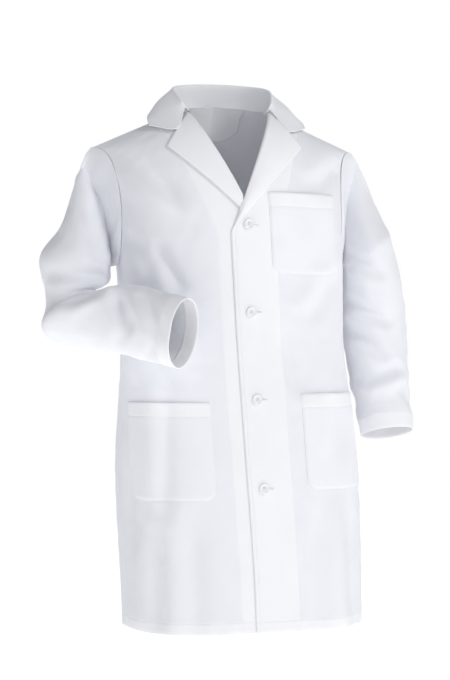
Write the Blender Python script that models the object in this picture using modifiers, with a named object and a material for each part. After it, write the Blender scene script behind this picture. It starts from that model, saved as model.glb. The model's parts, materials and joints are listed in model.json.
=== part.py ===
"""Knee-length lab coat in the shape it takes on a wearer: a Blender model of its cut pieces.

Run it with  blender --background --python part.py . Units are metres, +Z is up, the wearer
faces -Y and the wearer's left arm is on +X. The origin is the nape: the middle of the back
neck seam. Every ply of cloth is a shell on one coat form, at its own offset from it.
"""

import math
from functools import lru_cache

import bmesh
import bpy
import numpy as np
from mathutils import Matrix, Vector

# ---- driving sizes of the coat form, heights above the hem ---------------------------------
NAPE_HEIGHT = 1.020
UNDERARM_HEIGHT = 0.700
SHOULDER_HEIGHT = 0.925
BREAK_HEIGHT = 0.757  # where the lapels start to roll
SHOULDER_HALF = 0.262
NECK_HALF = 0.085
SHOULDER_SLOPE = 0.43
RIDGE_DEPTH = 0.015  # the shoulder seam lies this far behind the form's axis
NECK_RISE = 0.022
HALF_WIDTHS = ((0.0, 0.236), (0.30, 0.236), (0.56, 0.219), (UNDERARM_HEIGHT, 0.222))
HALF_DEPTHS = ((0.0, 0.166), (0.30, 0.160), (0.56, 0.142), (UNDERARM_HEIGHT, 0.140))
LEANS = ((0.0, 0.040), (0.36, 0.027), (0.78, 0.012), (NAPE_HEIGHT, 0.0))
TWIST = math.radians(7)  # the hem is turned this far from the shoulders
GIRTH_POWER = 2.55  # of the superellipse round the body
SHOULDER_POWER = 2.6  # of the superellipse over the shoulder
ARMHOLE_FRONT = math.radians(13)
ARMHOLE_BACK = math.radians(16)
TIP_BOW = 0.25  # least share of the armhole's bow, which keeps its corners apart at the shoulder tip

# ---- cloth ------------------------------------------------------------------------------------
PLY = 0.0010  # thickness of one modelled ply
PLY_GAP = 0.0005  # between two plies that lie on each other
PITCH = PLY + PLY_GAP  # from the middle of one ply to the middle of the next
SEAM_GAP = 0.0005  # between two pieces that are sewn edge to edge
OVERLAP = 0.030  # each front runs this far past the centre front
FACING_WIDTH = 0.057  # from the centre front to the facing's inner edge
HEM_HEIGHT = 0.022
CUFF_HEM = 0.030
FLAP_TOP = 0.235  # the fronts hang free below this height
SEAM_TAPE = 0.016  # width of the neatened seam allowances

# ---- pockets: distances along the cloth from the centre front, and heights -----------------------
POCKET_MOUTH = 0.026
POCKET_ROOM = 0.0125  # how far a pocket's face stands off the front
HIP_POCKET = (0.092, 0.272, 0.250, 0.433)
LEFT_POCKET_RISE = 0.016  # the left hip pocket hangs this much higher
CHEST_POCKET = (0.047, 0.190, 0.678, 0.833)

# ---- buttons ----------------------------------------------------------------------------------------
BUTTON_HEIGHTS = (0.773, 0.605, 0.439, 0.271)
BUTTON_RADIUS = 0.010
BUTTON_RIM = 0.0030
BUTTON_HOLE_RADIUS = 0.0010
BUTTON_HOLE_CIRCLE = 0.0024
BUTTONHOLE = (0.022, 0.0032)
SHANK_RADIUS = 0.0011

# ---- sleeves: each ring's centre (how far out from the underarm, depth and height on the upright coat),
# the way the arm runs there, a direction across it, the angle round the ring that this direction
# marks, and the half widths along and across it ------------------------------------------------------
RIGHT_RINGS = (
    ((0.066, 0.006, 0.735), (-0.62, 0.02, -0.78), (1, 0, 0), 0, 0.061, 0.070),
    ((0.090, 0.000, 0.682), (-0.25, -0.10, -0.95), (1, 0, 0), 0, 0.066, 0.070),
    ((0.098, -0.040, 0.606), (0.36, -0.52, -0.78), (0.6, -0.6, 0.5), 40, 0.068, 0.062),
    ((0.014, -0.134, 0.594), (0.58, -0.78, -0.20), (0, 0, 1), 52, 0.067, 0.043),
    ((-0.064, -0.236, 0.564), (0.58, -0.79, -0.19), (0, 0, 1), 52, 0.066, 0.039),
)
LEFT_RINGS = (
    ((0.062, 0.008, 0.735), (0.62, 0.0, -0.78), (-1, 0, 0), 0, 0.058, 0.070),
    ((0.070, 0.012, 0.665), (0.16, 0.05, -0.98), (-1, 0, 0), 0, 0.061, 0.074),
    ((0.076, 0.012, 0.580), (0.06, -0.12, -0.98), (-1, 0, 0), 0, 0.064, 0.072),
    ((0.078, -0.003, 0.500), (0.04, -0.22, -0.97), (-1, 0, 0), 0, 0.059, 0.066),
    ((0.084, -0.030, 0.368), (0.05, -0.24, -0.97), (-1, 0, 0), 0, 0.052, 0.060),
)
RING_SIDES = 14  # as many as the armhole has points
HEAD_BULGE = 0.055  # how far the sleeve head runs out before it turns down the arm

# ---- collar and lapels, on the wearer's left of the upright coat: x and height, or x, y and height --
LAPEL_EDGE = ((-0.030, 0.757), (-0.004, 0.788), (0.048, 0.842), (0.094, 0.886), (0.130, 0.921))
GORGE_ROLL = (0.0788, 0.988)  # where the gorge seam meets the roll line
NOTCH = (0.106, 0.949)
COLLAR_GAP = 0.0012
COLLAR_STATIONS = (  # stand seam, fold and fall edge, from the centre back round to the gorge
    ((0.000, 0.0917, 1.021), (0.000, 0.080, 1.060), (0.000, 0.126, 1.012)),
    ((0.052, 0.078, 1.012), (0.060, 0.066, 1.056), (0.086, 0.108, 0.999)),
    ((0.086, 0.018, 1.003), (0.096, 0.018, 1.044), (0.137, 0.036, 0.995)),
    ((0.081, -0.034, 0.998), (0.091, -0.035, 1.016), (0.153, -0.016, 0.982)),
)

COAT = bpy.data.collections.new("lab_coat")
CUTTERS = bpy.data.collections.new("cutters")


def clear_scene():
    """Removes what the startup file holds."""
    for found in list(bpy.data.objects):
        bpy.data.objects.remove(found)
    for collection in (COAT, CUTTERS):
        bpy.context.scene.collection.children.link(collection)
    CUTTERS.hide_render = True


# ---- the coat form ------------------------------------------------------------------------------------
def profile(stations, height):
    """A value that changes smoothly with height, level at each end of its stations."""
    heights = [s[0] for s in stations]
    values = [s[1] for s in stations]
    height = min(max(height, heights[0]), heights[-1])
    slopes = [0.0]
    for i in range(1, len(stations) - 1):
        slopes.append((values[i + 1] - values[i - 1]) / (heights[i + 1] - heights[i - 1]))
    slopes.append(0.0)
    i = min(max(int(np.searchsorted(heights, height)) - 1, 0), len(stations) - 2)
    span = heights[i + 1] - heights[i]
    t = (height - heights[i]) / span
    return (
        values[i] * (1 + 2 * t) * (1 - t) ** 2
        + slopes[i] * span * t * (1 - t) ** 2
        + values[i + 1] * t * t * (3 - 2 * t)
        + slopes[i + 1] * span * t * t * (t - 1)
    )


def girth_point(angle, height):
    """(x, y) on the body's outline, from the polar angle: 0 at centre front, 90 degrees at the side."""
    width, depth = profile(HALF_WIDTHS, height), profile(HALF_DEPTHS, height)
    sine, cosine = math.sin(angle), math.cos(angle)
    power = abs(sine / width) ** GIRTH_POWER + abs(cosine / depth) ** GIRTH_POWER
    radius = power ** (-1 / GIRTH_POWER)
    return radius * sine, -radius * cosine


def ridge_point(x_below):
    """(x, height) on the shoulder line above a point of the underarm outline."""
    x = x_below * SHOULDER_HALF / profile(HALF_WIDTHS, UNDERARM_HEIGHT)
    across = abs(x)
    rise = NECK_RISE * (1 - min(across / NECK_HALF, 1.0) ** 2) ** 2
    return x, SHOULDER_HEIGHT + SHOULDER_SLOPE * (SHOULDER_HALF - across) + rise


@lru_cache(maxsize=None)
def form_place(angle, v):
    """(x, y, height) on the form. v runs 0 to 1 from hem to underarm, then 1 to 2 up to the shoulder."""
    if v <= 1:
        height = v * UNDERARM_HEIGHT
        x, y = girth_point(angle, height)
    else:
        turn = (v - 1) * math.pi / 2
        spread = math.cos(turn) ** SHOULDER_POWER + math.sin(turn) ** SHOULDER_POWER
        size = spread ** (-1 / SHOULDER_POWER)
        out, up = size * math.cos(turn), size * math.sin(turn)
        x_low, y_low = girth_point(angle, UNDERARM_HEIGHT)
        x_ridge, ridge = ridge_point(x_low)
        x = x_ridge + (x_low - x_ridge) * out
        y = RIDGE_DEPTH + (y_low - RIDGE_DEPTH) * out
        height = UNDERARM_HEIGHT + (ridge - UNDERARM_HEIGHT) * up
    return x, y, height


def stood(x, y, height):
    """A point of the upright coat moved to where the wearer's stance takes it."""
    turn = TWIST * (1 - min(height / NAPE_HEIGHT, 1.0))
    return Vector(
        (
            profile(LEANS, height) + x * math.cos(turn) - y * math.sin(turn),
            x * math.sin(turn) + y * math.cos(turn) - NAPE_DEPTH,
            height - NAPE_HEIGHT,
        )
    )


def form_point(angle, v):
    """The form's surface as the wearer stands."""
    return stood(*form_place(angle, v))


def form_normal(angle, v):
    """Unit normal of the form, pointing away from the wearer."""
    step = 1e-3
    low, high = (v - step, v) if v >= 1 else (v, v + step)
    along = form_point(angle, min(high, 1.999)) - form_point(angle, max(min(low, 1.998), 0))
    around = form_point(angle + step, min(v, 1.999)) - form_point(angle - step, min(v, 1.999))
    return around.cross(along).normalized()


def placed(angle, v, offset):
    """A point at an offset from the form."""
    return form_point(angle, v) + form_normal(angle, v) * offset


def v_of_height(height):
    """The form's v for a height at or below the underarm."""
    return height / UNDERARM_HEIGHT


@lru_cache(maxsize=None)
def girth_table(v, front):
    """(angles, distances) round the cloth from centre front or back to the side, at a v up to 1."""
    angles = np.linspace(0, math.pi / 2, 61)
    places = [girth_point(a if front else math.pi - a, v * UNDERARM_HEIGHT) for a in angles]
    steps = [math.dist(a, b) for a, b in zip(places, places[1:])]
    return angles, np.concatenate([[0.0], np.cumsum(steps)])


def quarter_girth(front, v=1.0):
    """Cloth distance from the centre front or back to the side."""
    return float(girth_table(min(v, 1.0), front)[1][-1])


def angle_at(distance, v):
    """The polar angle that lies this far round the cloth from the centre front, up to the underarm."""
    angles, distances = girth_table(min(v, 1.0), True)
    return math.copysign(float(np.interp(abs(distance), distances, angles)), distance)


@lru_cache(maxsize=None)
def v_at_height(angle, height):
    """The form's v where the line at this angle reaches a height above the underarm."""
    _, ridge = ridge_point(girth_point(angle, UNDERARM_HEIGHT)[0])
    up = min((height - UNDERARM_HEIGHT) / (ridge - UNDERARM_HEIGHT), 1.0)
    out = (1 - up**SHOULDER_POWER) ** (1 / SHOULDER_POWER)
    return 1 + math.atan2(up, out) / (math.pi / 2)


def armhole_angle(v, front):
    """The polar angle of the armhole's front or back edge at a v above the underarm."""
    bow = math.sin(math.pi * (v - 1)) ** 0.6 if 1 < v < 2 else 0.0
    bow = max(bow, TIP_BOW) if v > 1.5 else bow
    return math.pi / 2 - ARMHOLE_FRONT * bow if front else math.pi / 2 + ARMHOLE_BACK * bow


def front_at(x, height):
    """(angle, v) of the point on the front of the form at this x and height."""
    low, high = math.radians(-60), math.radians(90)
    for _ in range(34):
        middle = (low + high) / 2
        v = v_of_height(height) if height <= UNDERARM_HEIGHT else v_at_height(middle, height)
        low, high = (middle, high) if form_place(middle, v)[0] < x else (low, middle)
    return low, v


def neck_angle(front):
    """The polar angle whose line ends at the side of the neck."""
    target = NECK_HALF * profile(HALF_WIDTHS, UNDERARM_HEIGHT) / SHOULDER_HALF
    low, high = 0.0, math.pi / 2
    for _ in range(40):
        middle = (low + high) / 2
        x = girth_point(middle, UNDERARM_HEIGHT)[0]
        low, high = (middle, high) if x < target else (low, middle)
    return low if front else math.pi - low


# ---- making shells -------------------------------------------------------------------------------------
def material(name, colour, roughness):
    """A plain finish."""
    made = bpy.data.materials.get(name) or bpy.data.materials.new(name)
    made.use_nodes = True
    shader = made.node_tree.nodes["Principled BSDF"]
    shader.inputs["Base Color"].default_value = (*colour, 1)
    shader.inputs["Roughness"].default_value = roughness
    shader.inputs["Metallic"].default_value = 0
    return made


def mesh_object(name, build, finish, collection=COAT):
    """An object from a bmesh."""
    mesh = bpy.data.meshes.new(name)
    bmesh.ops.recalc_face_normals(build, faces=build.faces)
    build.to_mesh(mesh)
    build.free()
    made = bpy.data.objects.new(name, mesh)
    collection.objects.link(made)
    if finish:
        mesh.materials.append(finish)
    return made


def shell(name, rows, finish, thickness=PLY, closed=False):
    """A ply: an open quad surface through rows of points, thickened evenly to both sides."""
    build = bmesh.new()
    verts = [[build.verts.new(p) for p in row] for row in rows]
    for lower, upper in zip(verts, verts[1:]):
        count = len(lower)
        for i in range(count if closed else count - 1):
            j = (i + 1) % count
            build.faces.new((lower[i], lower[j], upper[j], upper[i]))
    made = mesh_object(name, build, finish)
    made.data.shade_smooth()
    thicken = made.modifiers.new("ply", "SOLIDIFY")
    thicken.thickness = thickness
    thicken.offset = 0
    thicken.use_even_offset = True
    return made


def cut(target, cutter):
    """Takes the cutter's shape out of the target."""
    modifier = target.modifiers.new("cut", "BOOLEAN")
    modifier.operation = "DIFFERENCE"
    modifier.object = cutter


WHITE = (0.80, 0.82, 0.86)
CLOTH = material("poplin", WHITE, 0.85)
BUTTON_WHITE = material("button_resin", (0.84, 0.84, 0.83), 0.35)
THREAD = material("thread", (0.82, 0.82, 0.82), 0.7)


# ---- body panels -----------------------------------------------------------------------------------------
SEAM_V = 2 - 0.010  # both shoulder edges stop this close to the shoulder line
NAPE_DEPTH = form_place(math.pi, v_at_height(math.pi, NAPE_HEIGHT))[1]
BREAK_V = v_at_height(0.0, BREAK_HEIGHT)
NECK_POINT = form_place(neck_angle(True), SEAM_V)
CROSSING_HEIGHT = BREAK_HEIGHT + (NECK_POINT[2] - BREAK_HEIGHT) * OVERLAP / (NECK_POINT[0] + OVERLAP)
POCKET_SHARES = (0.26, 0.52)


def front_columns():
    """Distances from the centre front of a front's grid lines, as they lie at the underarm."""
    side = quarter_girth(True)
    inner, outer = HIP_POCKET[0], HIP_POCKET[1]
    columns = [-OVERLAP, 0.0, OVERLAP, FACING_WIDTH, inner]
    columns += [inner + (outer - inner) * share for share in POCKET_SHARES]
    return columns + [outer, side - SEAM_TAPE / 2, side - SEAM_GAP]


def at_level(distance, v):
    """The same grid line at another height: the part outside the pocket takes up the change of girth."""
    side, outer = quarter_girth(True), HIP_POCKET[1]
    if distance <= outer:
        return distance
    return outer + (distance - outer) * (quarter_girth(True, v) - outer) / (side - outer)


def stand_off(distance, side, v):
    """The left front lies over the right one: how far its stand is lifted from the form."""
    if side < 0:
        return 0.0
    share = min(max((distance - OVERLAP) / (HIP_POCKET[0] - OVERLAP), 0.0), 1.0)
    crossing = v_at_height(0.0, CROSSING_HEIGHT)
    fade = min(max((v - crossing - 0.06) / 0.2, 0.0), 1.0)
    return 2.2 * PITCH * (1 - share * share * (3 - 2 * share)) * (1 - fade)


def roll_angle(v):
    """The polar angle at which a row above the break meets the roll line."""
    low, high = math.radians(-20), math.radians(89)
    run = (NECK_POINT[0] + OVERLAP) / (NECK_POINT[2] - BREAK_HEIGHT)
    for _ in range(34):
        middle = (low + high) / 2
        x, _, height = form_place(middle, v)
        low, high = (middle, high) if x < run * (height - BREAK_HEIGHT) - OVERLAP else (low, middle)
    return low


def front_angle(distance, v):
    """The polar angle of a front's grid line. Above the underarm the lines draw in to the armhole."""
    angle = angle_at(at_level(distance, v), v)
    if v <= 1:
        return angle
    start, edge = angle_at(OVERLAP, 1.0), angle_at(quarter_girth(True) - SEAM_GAP, 1.0)
    arm = armhole_angle(v, True) - SEAM_GAP / 0.2
    if v <= BREAK_V + 1e-9:
        return angle if angle <= start else start + (angle - start) * (arm - start) / (edge - start)
    inner, first = roll_angle(v), angle_at(-OVERLAP, 1.0)
    at_break = front_angle(distance, BREAK_V)
    arm_at_break = armhole_angle(BREAK_V, True) - SEAM_GAP / 0.2
    return inner + (at_break - first) * (arm - inner) / (arm_at_break - first)


def front_rows(side, distances, levels, offset):
    """Rows of points of a front ply."""
    return [
        [placed(side * front_angle(d, v), v, offset + stand_off(d, side, v)) for d in distances]
        for v in levels
    ]


def back_columns():
    """Shares of the way from the side seam to the centre back, of a back's grid lines."""
    tape = SEAM_TAPE / 2 / quarter_girth(False)
    return (0.0, tape, 0.2, 0.42, 0.64, 0.8, 1 - tape, 1.0)


def back_angle(side, share, v):
    """The polar angle of a back's grid line: share 0 at the side, 1 at the centre back."""
    start = math.pi / 2 if v <= 1 else armhole_angle(v, False)
    start += SEAM_GAP / 0.2
    return side * (start + (math.pi - SEAM_GAP / 0.14 - start) * share)


def back_top_v(share):
    """The v at which a back's grid line ends: on the neck seam or on the shoulder seam."""
    angle, neck = abs(back_angle(1, share, 1.0)), neck_angle(False)
    if angle <= neck:
        return SEAM_V
    to_nape = (angle - neck) / (math.pi - neck)
    return min(v_at_height(angle, NECK_POINT[2] + (NAPE_HEIGHT - NECK_POINT[2]) * to_nape), SEAM_V)


def back_rows(side, shares, levels, offset):
    """Rows of points of a back ply. A level from 1 to 2 is a share of the way to the top edge."""
    rows = []
    for level in levels:
        vs = [level if level <= 1 else 1 + (level - 1) * (back_top_v(s) - 1) for s in shares]
        rows.append([placed(back_angle(side, s, v), v, offset) for s, v in zip(shares, vs)])
    return rows


SIDES = (("right", -1), ("left", 1))
SKIRT_LEVELS = [v_of_height(h) for h in (0.0, HEM_HEIGHT, 0.09, 0.16, FLAP_TOP - SEAM_GAP)]
BODY_LEVELS = [v_of_height(h) for h in (FLAP_TOP, 0.30, 0.36, 0.43, 0.50, 0.56, 0.63)] + [1.0]
CHEST_LEVELS = [1 + (BREAK_V - 1) * 0.5, BREAK_V, 1.32, 1.45, 1.60, 1.76, 1.90]
BACK_LEVELS = [1.12, 1.3, 1.5, 1.7, 1.86]
HEM_LEVELS = [v_of_height(0.001), v_of_height(HEM_HEIGHT - 0.001)]
INNER = -PITCH


def make_fronts():
    """Both fronts, their free lower flaps, their facings and hems."""
    columns = front_columns()
    facing = columns[:4]
    made = {}
    for name, side in SIDES:
        rows = front_rows(side, columns, BODY_LEVELS + CHEST_LEVELS + [SEAM_V], 0)
        made[f"{name}_front"] = shell(f"{name}_front", rows, CLOTH)
        shell(f"{name}_front_flap", front_rows(side, columns, SKIRT_LEVELS, 0), CLOTH)
        rows = front_rows(side, facing, BODY_LEVELS + CHEST_LEVELS, INNER)
        made[f"{name}_front_facing"] = shell(f"{name}_front_facing", rows, CLOTH)
        shell(f"{name}_flap_facing", front_rows(side, facing, SKIRT_LEVELS[1:], INNER), CLOTH)
        shell(f"{name}_front_hem", front_rows(side, columns, HEM_LEVELS, INNER), CLOTH)
    return made


def make_backs():
    """Both backs, their hems, the neck facing and the tapes over the inside seams."""
    columns = back_columns()
    below = SKIRT_LEVELS[:-1] + BODY_LEVELS
    for name, side in SIDES:
        shell(f"{name}_back", back_rows(side, columns, below + BACK_LEVELS + [2.0], 0), CLOTH)
        shell(f"{name}_back_hem", back_rows(side, columns, HEM_LEVELS, INNER), CLOTH)
        half = SEAM_TAPE / 2
        tape = []
        for v in below[1:-1]:
            side_angle = front_angle(quarter_girth(True) - half, v)
            turns = (side_angle, math.pi / 2, back_angle(1, columns[1], v))
            tape.append([placed(side * turn, v, INNER) for turn in turns])
        shell(f"{name}_side_seam_tape", tape, CLOTH)
    tape = []
    for level in below[1:] + BACK_LEVELS[:-1]:
        v = level if level <= 1 else 1 + (level - 1) * (back_top_v(columns[-2]) - 1)
        turns = (back_angle(1, columns[-2], v), math.pi, 2 * math.pi - back_angle(1, columns[-2], v))
        tape.append([placed(turn, v, INNER) for turn in turns])
    shell("centre_back_seam_tape", tape, CLOTH)


# ---- sleeves ---------------------------------------------------------------------------------------------
def armhole_loop(side):
    """The armhole's points, from the underarm up the front edge and down the back edge."""
    ups = [1.0, 1.12, 1.28, 1.44, 1.60, 1.76, 1.90]
    loop = [form_point(side * armhole_angle(v, True), v) for v in ups]
    loop += [form_point(side * math.pi / 2, SEAM_V)]
    loop += [form_point(side * armhole_angle(v, False), v) for v in reversed(ups[1:])]
    return [p + Vector((side * 0.0042, 0, -0.0015)) for p in loop]


def ring(spec):
    """Points round a sleeve, from its inner side round by the front."""
    centre, axis, across, marked, half_along, half_over = spec
    axis, middle = Vector(axis).normalized(), stood(*centre)
    first = (Vector(across) - axis * axis.dot(Vector(across))).normalized()
    second = first.cross(axis) if centre[0] < 0 else axis.cross(first)
    points = []
    for k in range(RING_SIDES):
        turn = 2 * math.pi * k / RING_SIDES - math.radians(marked)
        points.append(middle + first * half_along * math.cos(turn) + second * half_over * math.sin(turn))
    return points


def between(spec_a, spec_b, share):
    """A ring's numbers part of the way from one ring to the next."""
    return tuple(
        tuple(a + (b - a) * share for a, b in zip(part_a, part_b))
        if isinstance(part_a, tuple)
        else part_a + (part_b - part_a) * share
        for part_a, part_b in zip(spec_a, spec_b)
    )


def moved(points, axis, distance):
    """Points moved along an axis."""
    step = Vector(axis).normalized() * distance
    return [p + step for p in points]


def beside_body(rings, side):
    """Rings whose centres are given by their distance out from the underarm, stood beside the body."""
    half = profile(HALF_WIDTHS, UNDERARM_HEIGHT)
    return [((side * (half + out), depth, height), *rest) for (out, depth, height), *rest in rings]


def make_sleeve(name, side, rings):
    """A sleeve: the head set into the armhole, the upper part, the elbow, the lower part and its hem."""
    hole, first = armhole_loop(side), ring(rings[0])
    out, down = Vector((side, 0, -0.4)), Vector(rings[0][1]).normalized()
    head = []
    for t in (0.0, 0.3, 0.62):
        row = []
        for a, b in zip(hole, first):
            pull = min(HEAD_BULGE, (b - a).length * 0.5)
            row.append(
                a * (1 - 3 * t**2 + 2 * t**3)
                + b * (3 * t**2 - 2 * t**3)
                + out * pull * t * (1 - t) ** 2
                + down * pull * t * t * (t - 1)
            )
        head.append(row)
    head.append(moved(first, rings[0][1], -SEAM_GAP))
    shell(f"{name}_sleeve_head", head, CLOTH, closed=True)
    upper = [moved(first, rings[0][1], SEAM_GAP), moved(ring(rings[1]), rings[1][1], -SEAM_GAP)]
    shell(f"{name}_upper_sleeve", upper, CLOTH, closed=True)
    elbow = [moved(ring(rings[1]), rings[1][1], SEAM_GAP)]
    elbow += [ring(between(rings[1], rings[2], 0.5)), ring(rings[2]), ring(between(rings[2], rings[3], 0.5))]
    elbow += [moved(ring(rings[3]), rings[3][1], -SEAM_GAP)]
    shell(f"{name}_elbow", elbow, CLOTH, closed=True)
    length = (stood(*rings[4][0]) - stood(*rings[3][0])).length
    hem_spec = between(rings[3], rings[4], 1 - CUFF_HEM / length)
    lower = [moved(ring(rings[3]), rings[3][1], SEAM_GAP), ring(hem_spec), ring(rings[4])]
    shell(f"{name}_lower_sleeve", lower, CLOTH, closed=True)
    hem = [grown(ring(spec), spec, INNER) for spec in (hem_spec, between(rings[3], rings[4], 0.995))]
    shell(f"{name}_cuff_hem", hem, CLOTH, closed=True)


def grown(points, spec, distance):
    """A ring's points moved out from its centre."""
    middle = stood(*spec[0])
    return [p + (p - middle).normalized() * distance for p in points]


# ---- lapels and collar -----------------------------------------------------------------------------------
def along(points, share):
    """A point part of the way along a smooth line through these points, which it takes as evenly spaced."""
    place = min(max(share, 0.0), 1.0) * (len(points) - 1)
    i = min(int(place), len(points) - 2)
    t = place - i
    p = [Vector(points[min(max(j, 0), len(points) - 1)]) for j in range(i - 1, i + 3)]
    return 0.5 * (
        2 * p[1] + (p[2] - p[0]) * t + (2 * p[0] - 5 * p[1] + 4 * p[2] - p[3]) * t**2
        + (3 * p[1] - p[0] - 3 * p[2] + p[3]) * t**3
    )


def offset_rows(rows, distance):
    """A grid of points moved along its own normals."""
    moved_rows = []
    for r, row in enumerate(rows):
        new = []
        for c, point in enumerate(row):
            up = rows[min(r + 1, len(rows) - 1)][c] - rows[max(r - 1, 0)][c]
            over = row[min(c + 1, len(row) - 1)] - row[max(c - 1, 0)]
            new.append(point + over.cross(up).normalized() * distance)
        moved_rows.append(new)
    return moved_rows


def on_front(side, x, height, offset):
    """A point over the front of the form at this x, taken on the left and mirrored, and height."""
    angle, v = front_at(x, height)
    return placed(side * angle, v, offset)


def lapel_rows(side, offset):
    """Rows of points across a lapel, from the break up to the gorge."""
    start = 0.10 if side > 0 else 0.30
    rows = []
    for step in range(7):
        k = start + (1 - start) * step / 6
        roll = Vector((-OVERLAP, BREAK_HEIGHT)).lerp(Vector(GORGE_ROLL), k)
        edge = along([(x, h, 0) for x, h in LAPEL_EDGE], k).xy
        row = []
        for share in (0.0, 0.25, 0.6, 1.0):
            x, height = roll.lerp(edge, share)
            if side < 0:  # it comes out from under the left front's roll line
                reach = (GORGE_ROLL[0] + OVERLAP) / (GORGE_ROLL[1] - BREAK_HEIGHT)
                left_roll = reach * (height - BREAK_HEIGHT) - OVERLAP
                x = max(x, 0.006 - left_roll)
            row.append(on_front(side, x, height, offset + 0.003 * math.sin(math.pi * share)))
        rows.append(row)
    return rows


def collar_section(station, side):
    """Points across the collar: up the stand, over the fold and down the fall."""
    seam, fold, edge = (stood(side * x, y, h) for x, y, h in station)
    out = Vector((edge.x - fold.x, edge.y - fold.y, 0)).normalized()
    up = Vector((0, 0, 1))
    inner, outer = fold - out * 0.004 - up * 0.002, fold + out * 0.005 - up * 0.003
    middle = (fold + edge) / 2 + out * 0.006 + up * 0.003
    return [seam, (seam + inner) / 2, inner, fold + up * 0.002, outer, middle, edge]


def gorge_section(side):
    """The collar's front end: the gorge seam out to the notch, then its own front edge."""
    roll = on_front(side, GORGE_ROLL[0] + 0.001, GORGE_ROLL[1] + 0.004, 0.0105)
    seam = on_front(side, GORGE_ROLL[0] - 0.004, GORGE_ROLL[1] + 0.004, 0.0045)
    notch = on_front(side, NOTCH[0] + COLLAR_GAP, NOTCH[1] + COLLAR_GAP + 0.001, 0.0085)
    point = on_front(side, 0.152, 0.959, 0.0085)
    inner = on_front(side, GORGE_ROLL[0] - 0.002, GORGE_ROLL[1] + 0.004, 0.0085)
    outer = roll.lerp(notch, 0.2)
    return [seam, (seam + inner) / 2, inner, roll, outer, notch, point]


def collar_grid():
    """Rows of points across the collar, from the wearer's right end round to the left."""
    half = [collar_section(station, 1) for station in COLLAR_STATIONS] + [gorge_section(1)]
    other = [collar_section(station, -1) for station in COLLAR_STATIONS[1:]] + [gorge_section(-1)]
    stations = list(reversed(other)) + half
    rows = []
    for step in range(17):
        share = step / 16
        rows.append([along([s[c] for s in stations], share) for c in range(7)])
    return rows


def make_neck():
    """The lapels, each of two plies, the collar's two plies and the back neck facing."""
    for name, side in SIDES:
        lift = 0.0062 if side > 0 else 0.0040
        rows = lapel_rows(side, lift)
        shell(f"{name}_lapel_back", rows, CLOTH)
        shell(f"{name}_lapel_face", offset_rows(rows, PITCH * side), CLOTH)
    grid = collar_grid()
    shell("upper_collar", offset_rows(grid, PITCH), CLOTH)
    shell("under_collar", offset_rows(grid, -PITCH), CLOTH)
    shares = back_columns()[-3:]
    rows = [[*left, *reversed(right[:-1])] for left, right in zip(
        neck_facing_rows(1, shares), neck_facing_rows(-1, shares))]
    shell("back_neck_facing", rows, CLOTH)


def neck_facing_rows(side, shares):
    """Half of the back neck facing."""
    rows = back_rows(side, shares[:-1], (1.74, 1.86, 1.96), 2 * INNER)
    centre = back_rows(side, (1.0,), (1.74, 1.86, 1.96), 2 * INNER)
    return [row + [Vector((0, (middle[0]).y, middle[0].z))] for row, middle in zip(rows, centre)]


# ---- pockets -----------------------------------------------------------------------------------------------
def pocket_rows(side, box, heights, offset, chest=False):
    """Rows of points of a patch pocket, which stands off the front between its edges."""
    inner, outer, bottom, top = box
    columns = [d for d in front_columns() if inner + 0.004 < d < outer - 0.004]
    columns = [inner, *columns, outer]
    if chest:
        columns = [inner + (outer - inner) * k / 6 for k in range(7)]
    rows = []
    for height in heights:
        narrow = 0.016 * max(1 - (height - bottom) / 0.018, 0.0)
        open_share = (height - bottom) / (top - bottom)
        row = []
        for d in columns:
            d = min(max(d, inner + narrow), outer - narrow)
            across = (d - inner) / (outer - inner)
            room = POCKET_ROOM * math.sin(math.pi * across) ** 0.7 * min(open_share * 2, 1.0)
            if chest:
                row.append(on_front(side, d, height, offset + room + 0.0033 * max(1 - across * 2, 0.0)))
                continue
            v = v_of_height(height)
            row.append(placed(side * front_angle(d, v), v, offset + room + stand_off(d, side, v)))
        rows.append(row)
    return rows


def make_pockets():
    """Three patch pockets, each with its turned mouth hem."""
    for name, side, box in (
        ("right_hip", -1, HIP_POCKET),
        ("left_hip", 1, HIP_POCKET),
        ("chest", 1, CHEST_POCKET),
    ):
        chest = name == "chest"
        rise = LEFT_POCKET_RISE if name == "left_hip" else 0.0
        box = (box[0], box[1], box[2] + rise, box[3] + rise)
        bottom, top = box[2], box[3]
        lift = 0.0035 if chest else 0.0030
        heights = [bottom, bottom + 0.018, bottom + 0.05, (bottom + top) / 2, top - POCKET_MOUTH, top]
        shell(f"{name}_pocket", pocket_rows(side, box, heights, lift, chest), CLOTH)
        rows = pocket_rows(side, box, [top - POCKET_MOUTH, top], lift, chest)
        inner = offset_rows(rows, INNER * side)
        shell(f"{name}_pocket_hem", inner, CLOTH)


# ---- buttons -----------------------------------------------------------------------------------------------
def lathe(name, profile_points, finish, steps=20):
    """A turned solid about its own Z."""
    build = bmesh.new()
    verts = [build.verts.new((r, 0, z)) for r, z in profile_points]
    for a, b in zip(verts, verts[1:]):
        build.edges.new((a, b))
    mesh = bpy.data.meshes.new(name)
    build.to_mesh(mesh)
    build.free()
    made = bpy.data.objects.new(name, mesh)
    COAT.objects.link(made)
    mesh.materials.append(finish)
    turn = made.modifiers.new("turn", "SCREW")
    turn.steps = turn.render_steps = steps
    turn.use_merge_vertices = True
    turn.merge_threshold = 1e-5
    turn.use_normal_calculate = True
    return made


def block(name, size):
    """A box, centred, to cut with."""
    build = bmesh.new()
    bmesh.ops.create_cube(build, size=1)
    bmesh.ops.scale(build, vec=size, verts=build.verts)
    return mesh_object(name, build, None, CUTTERS)


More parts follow.
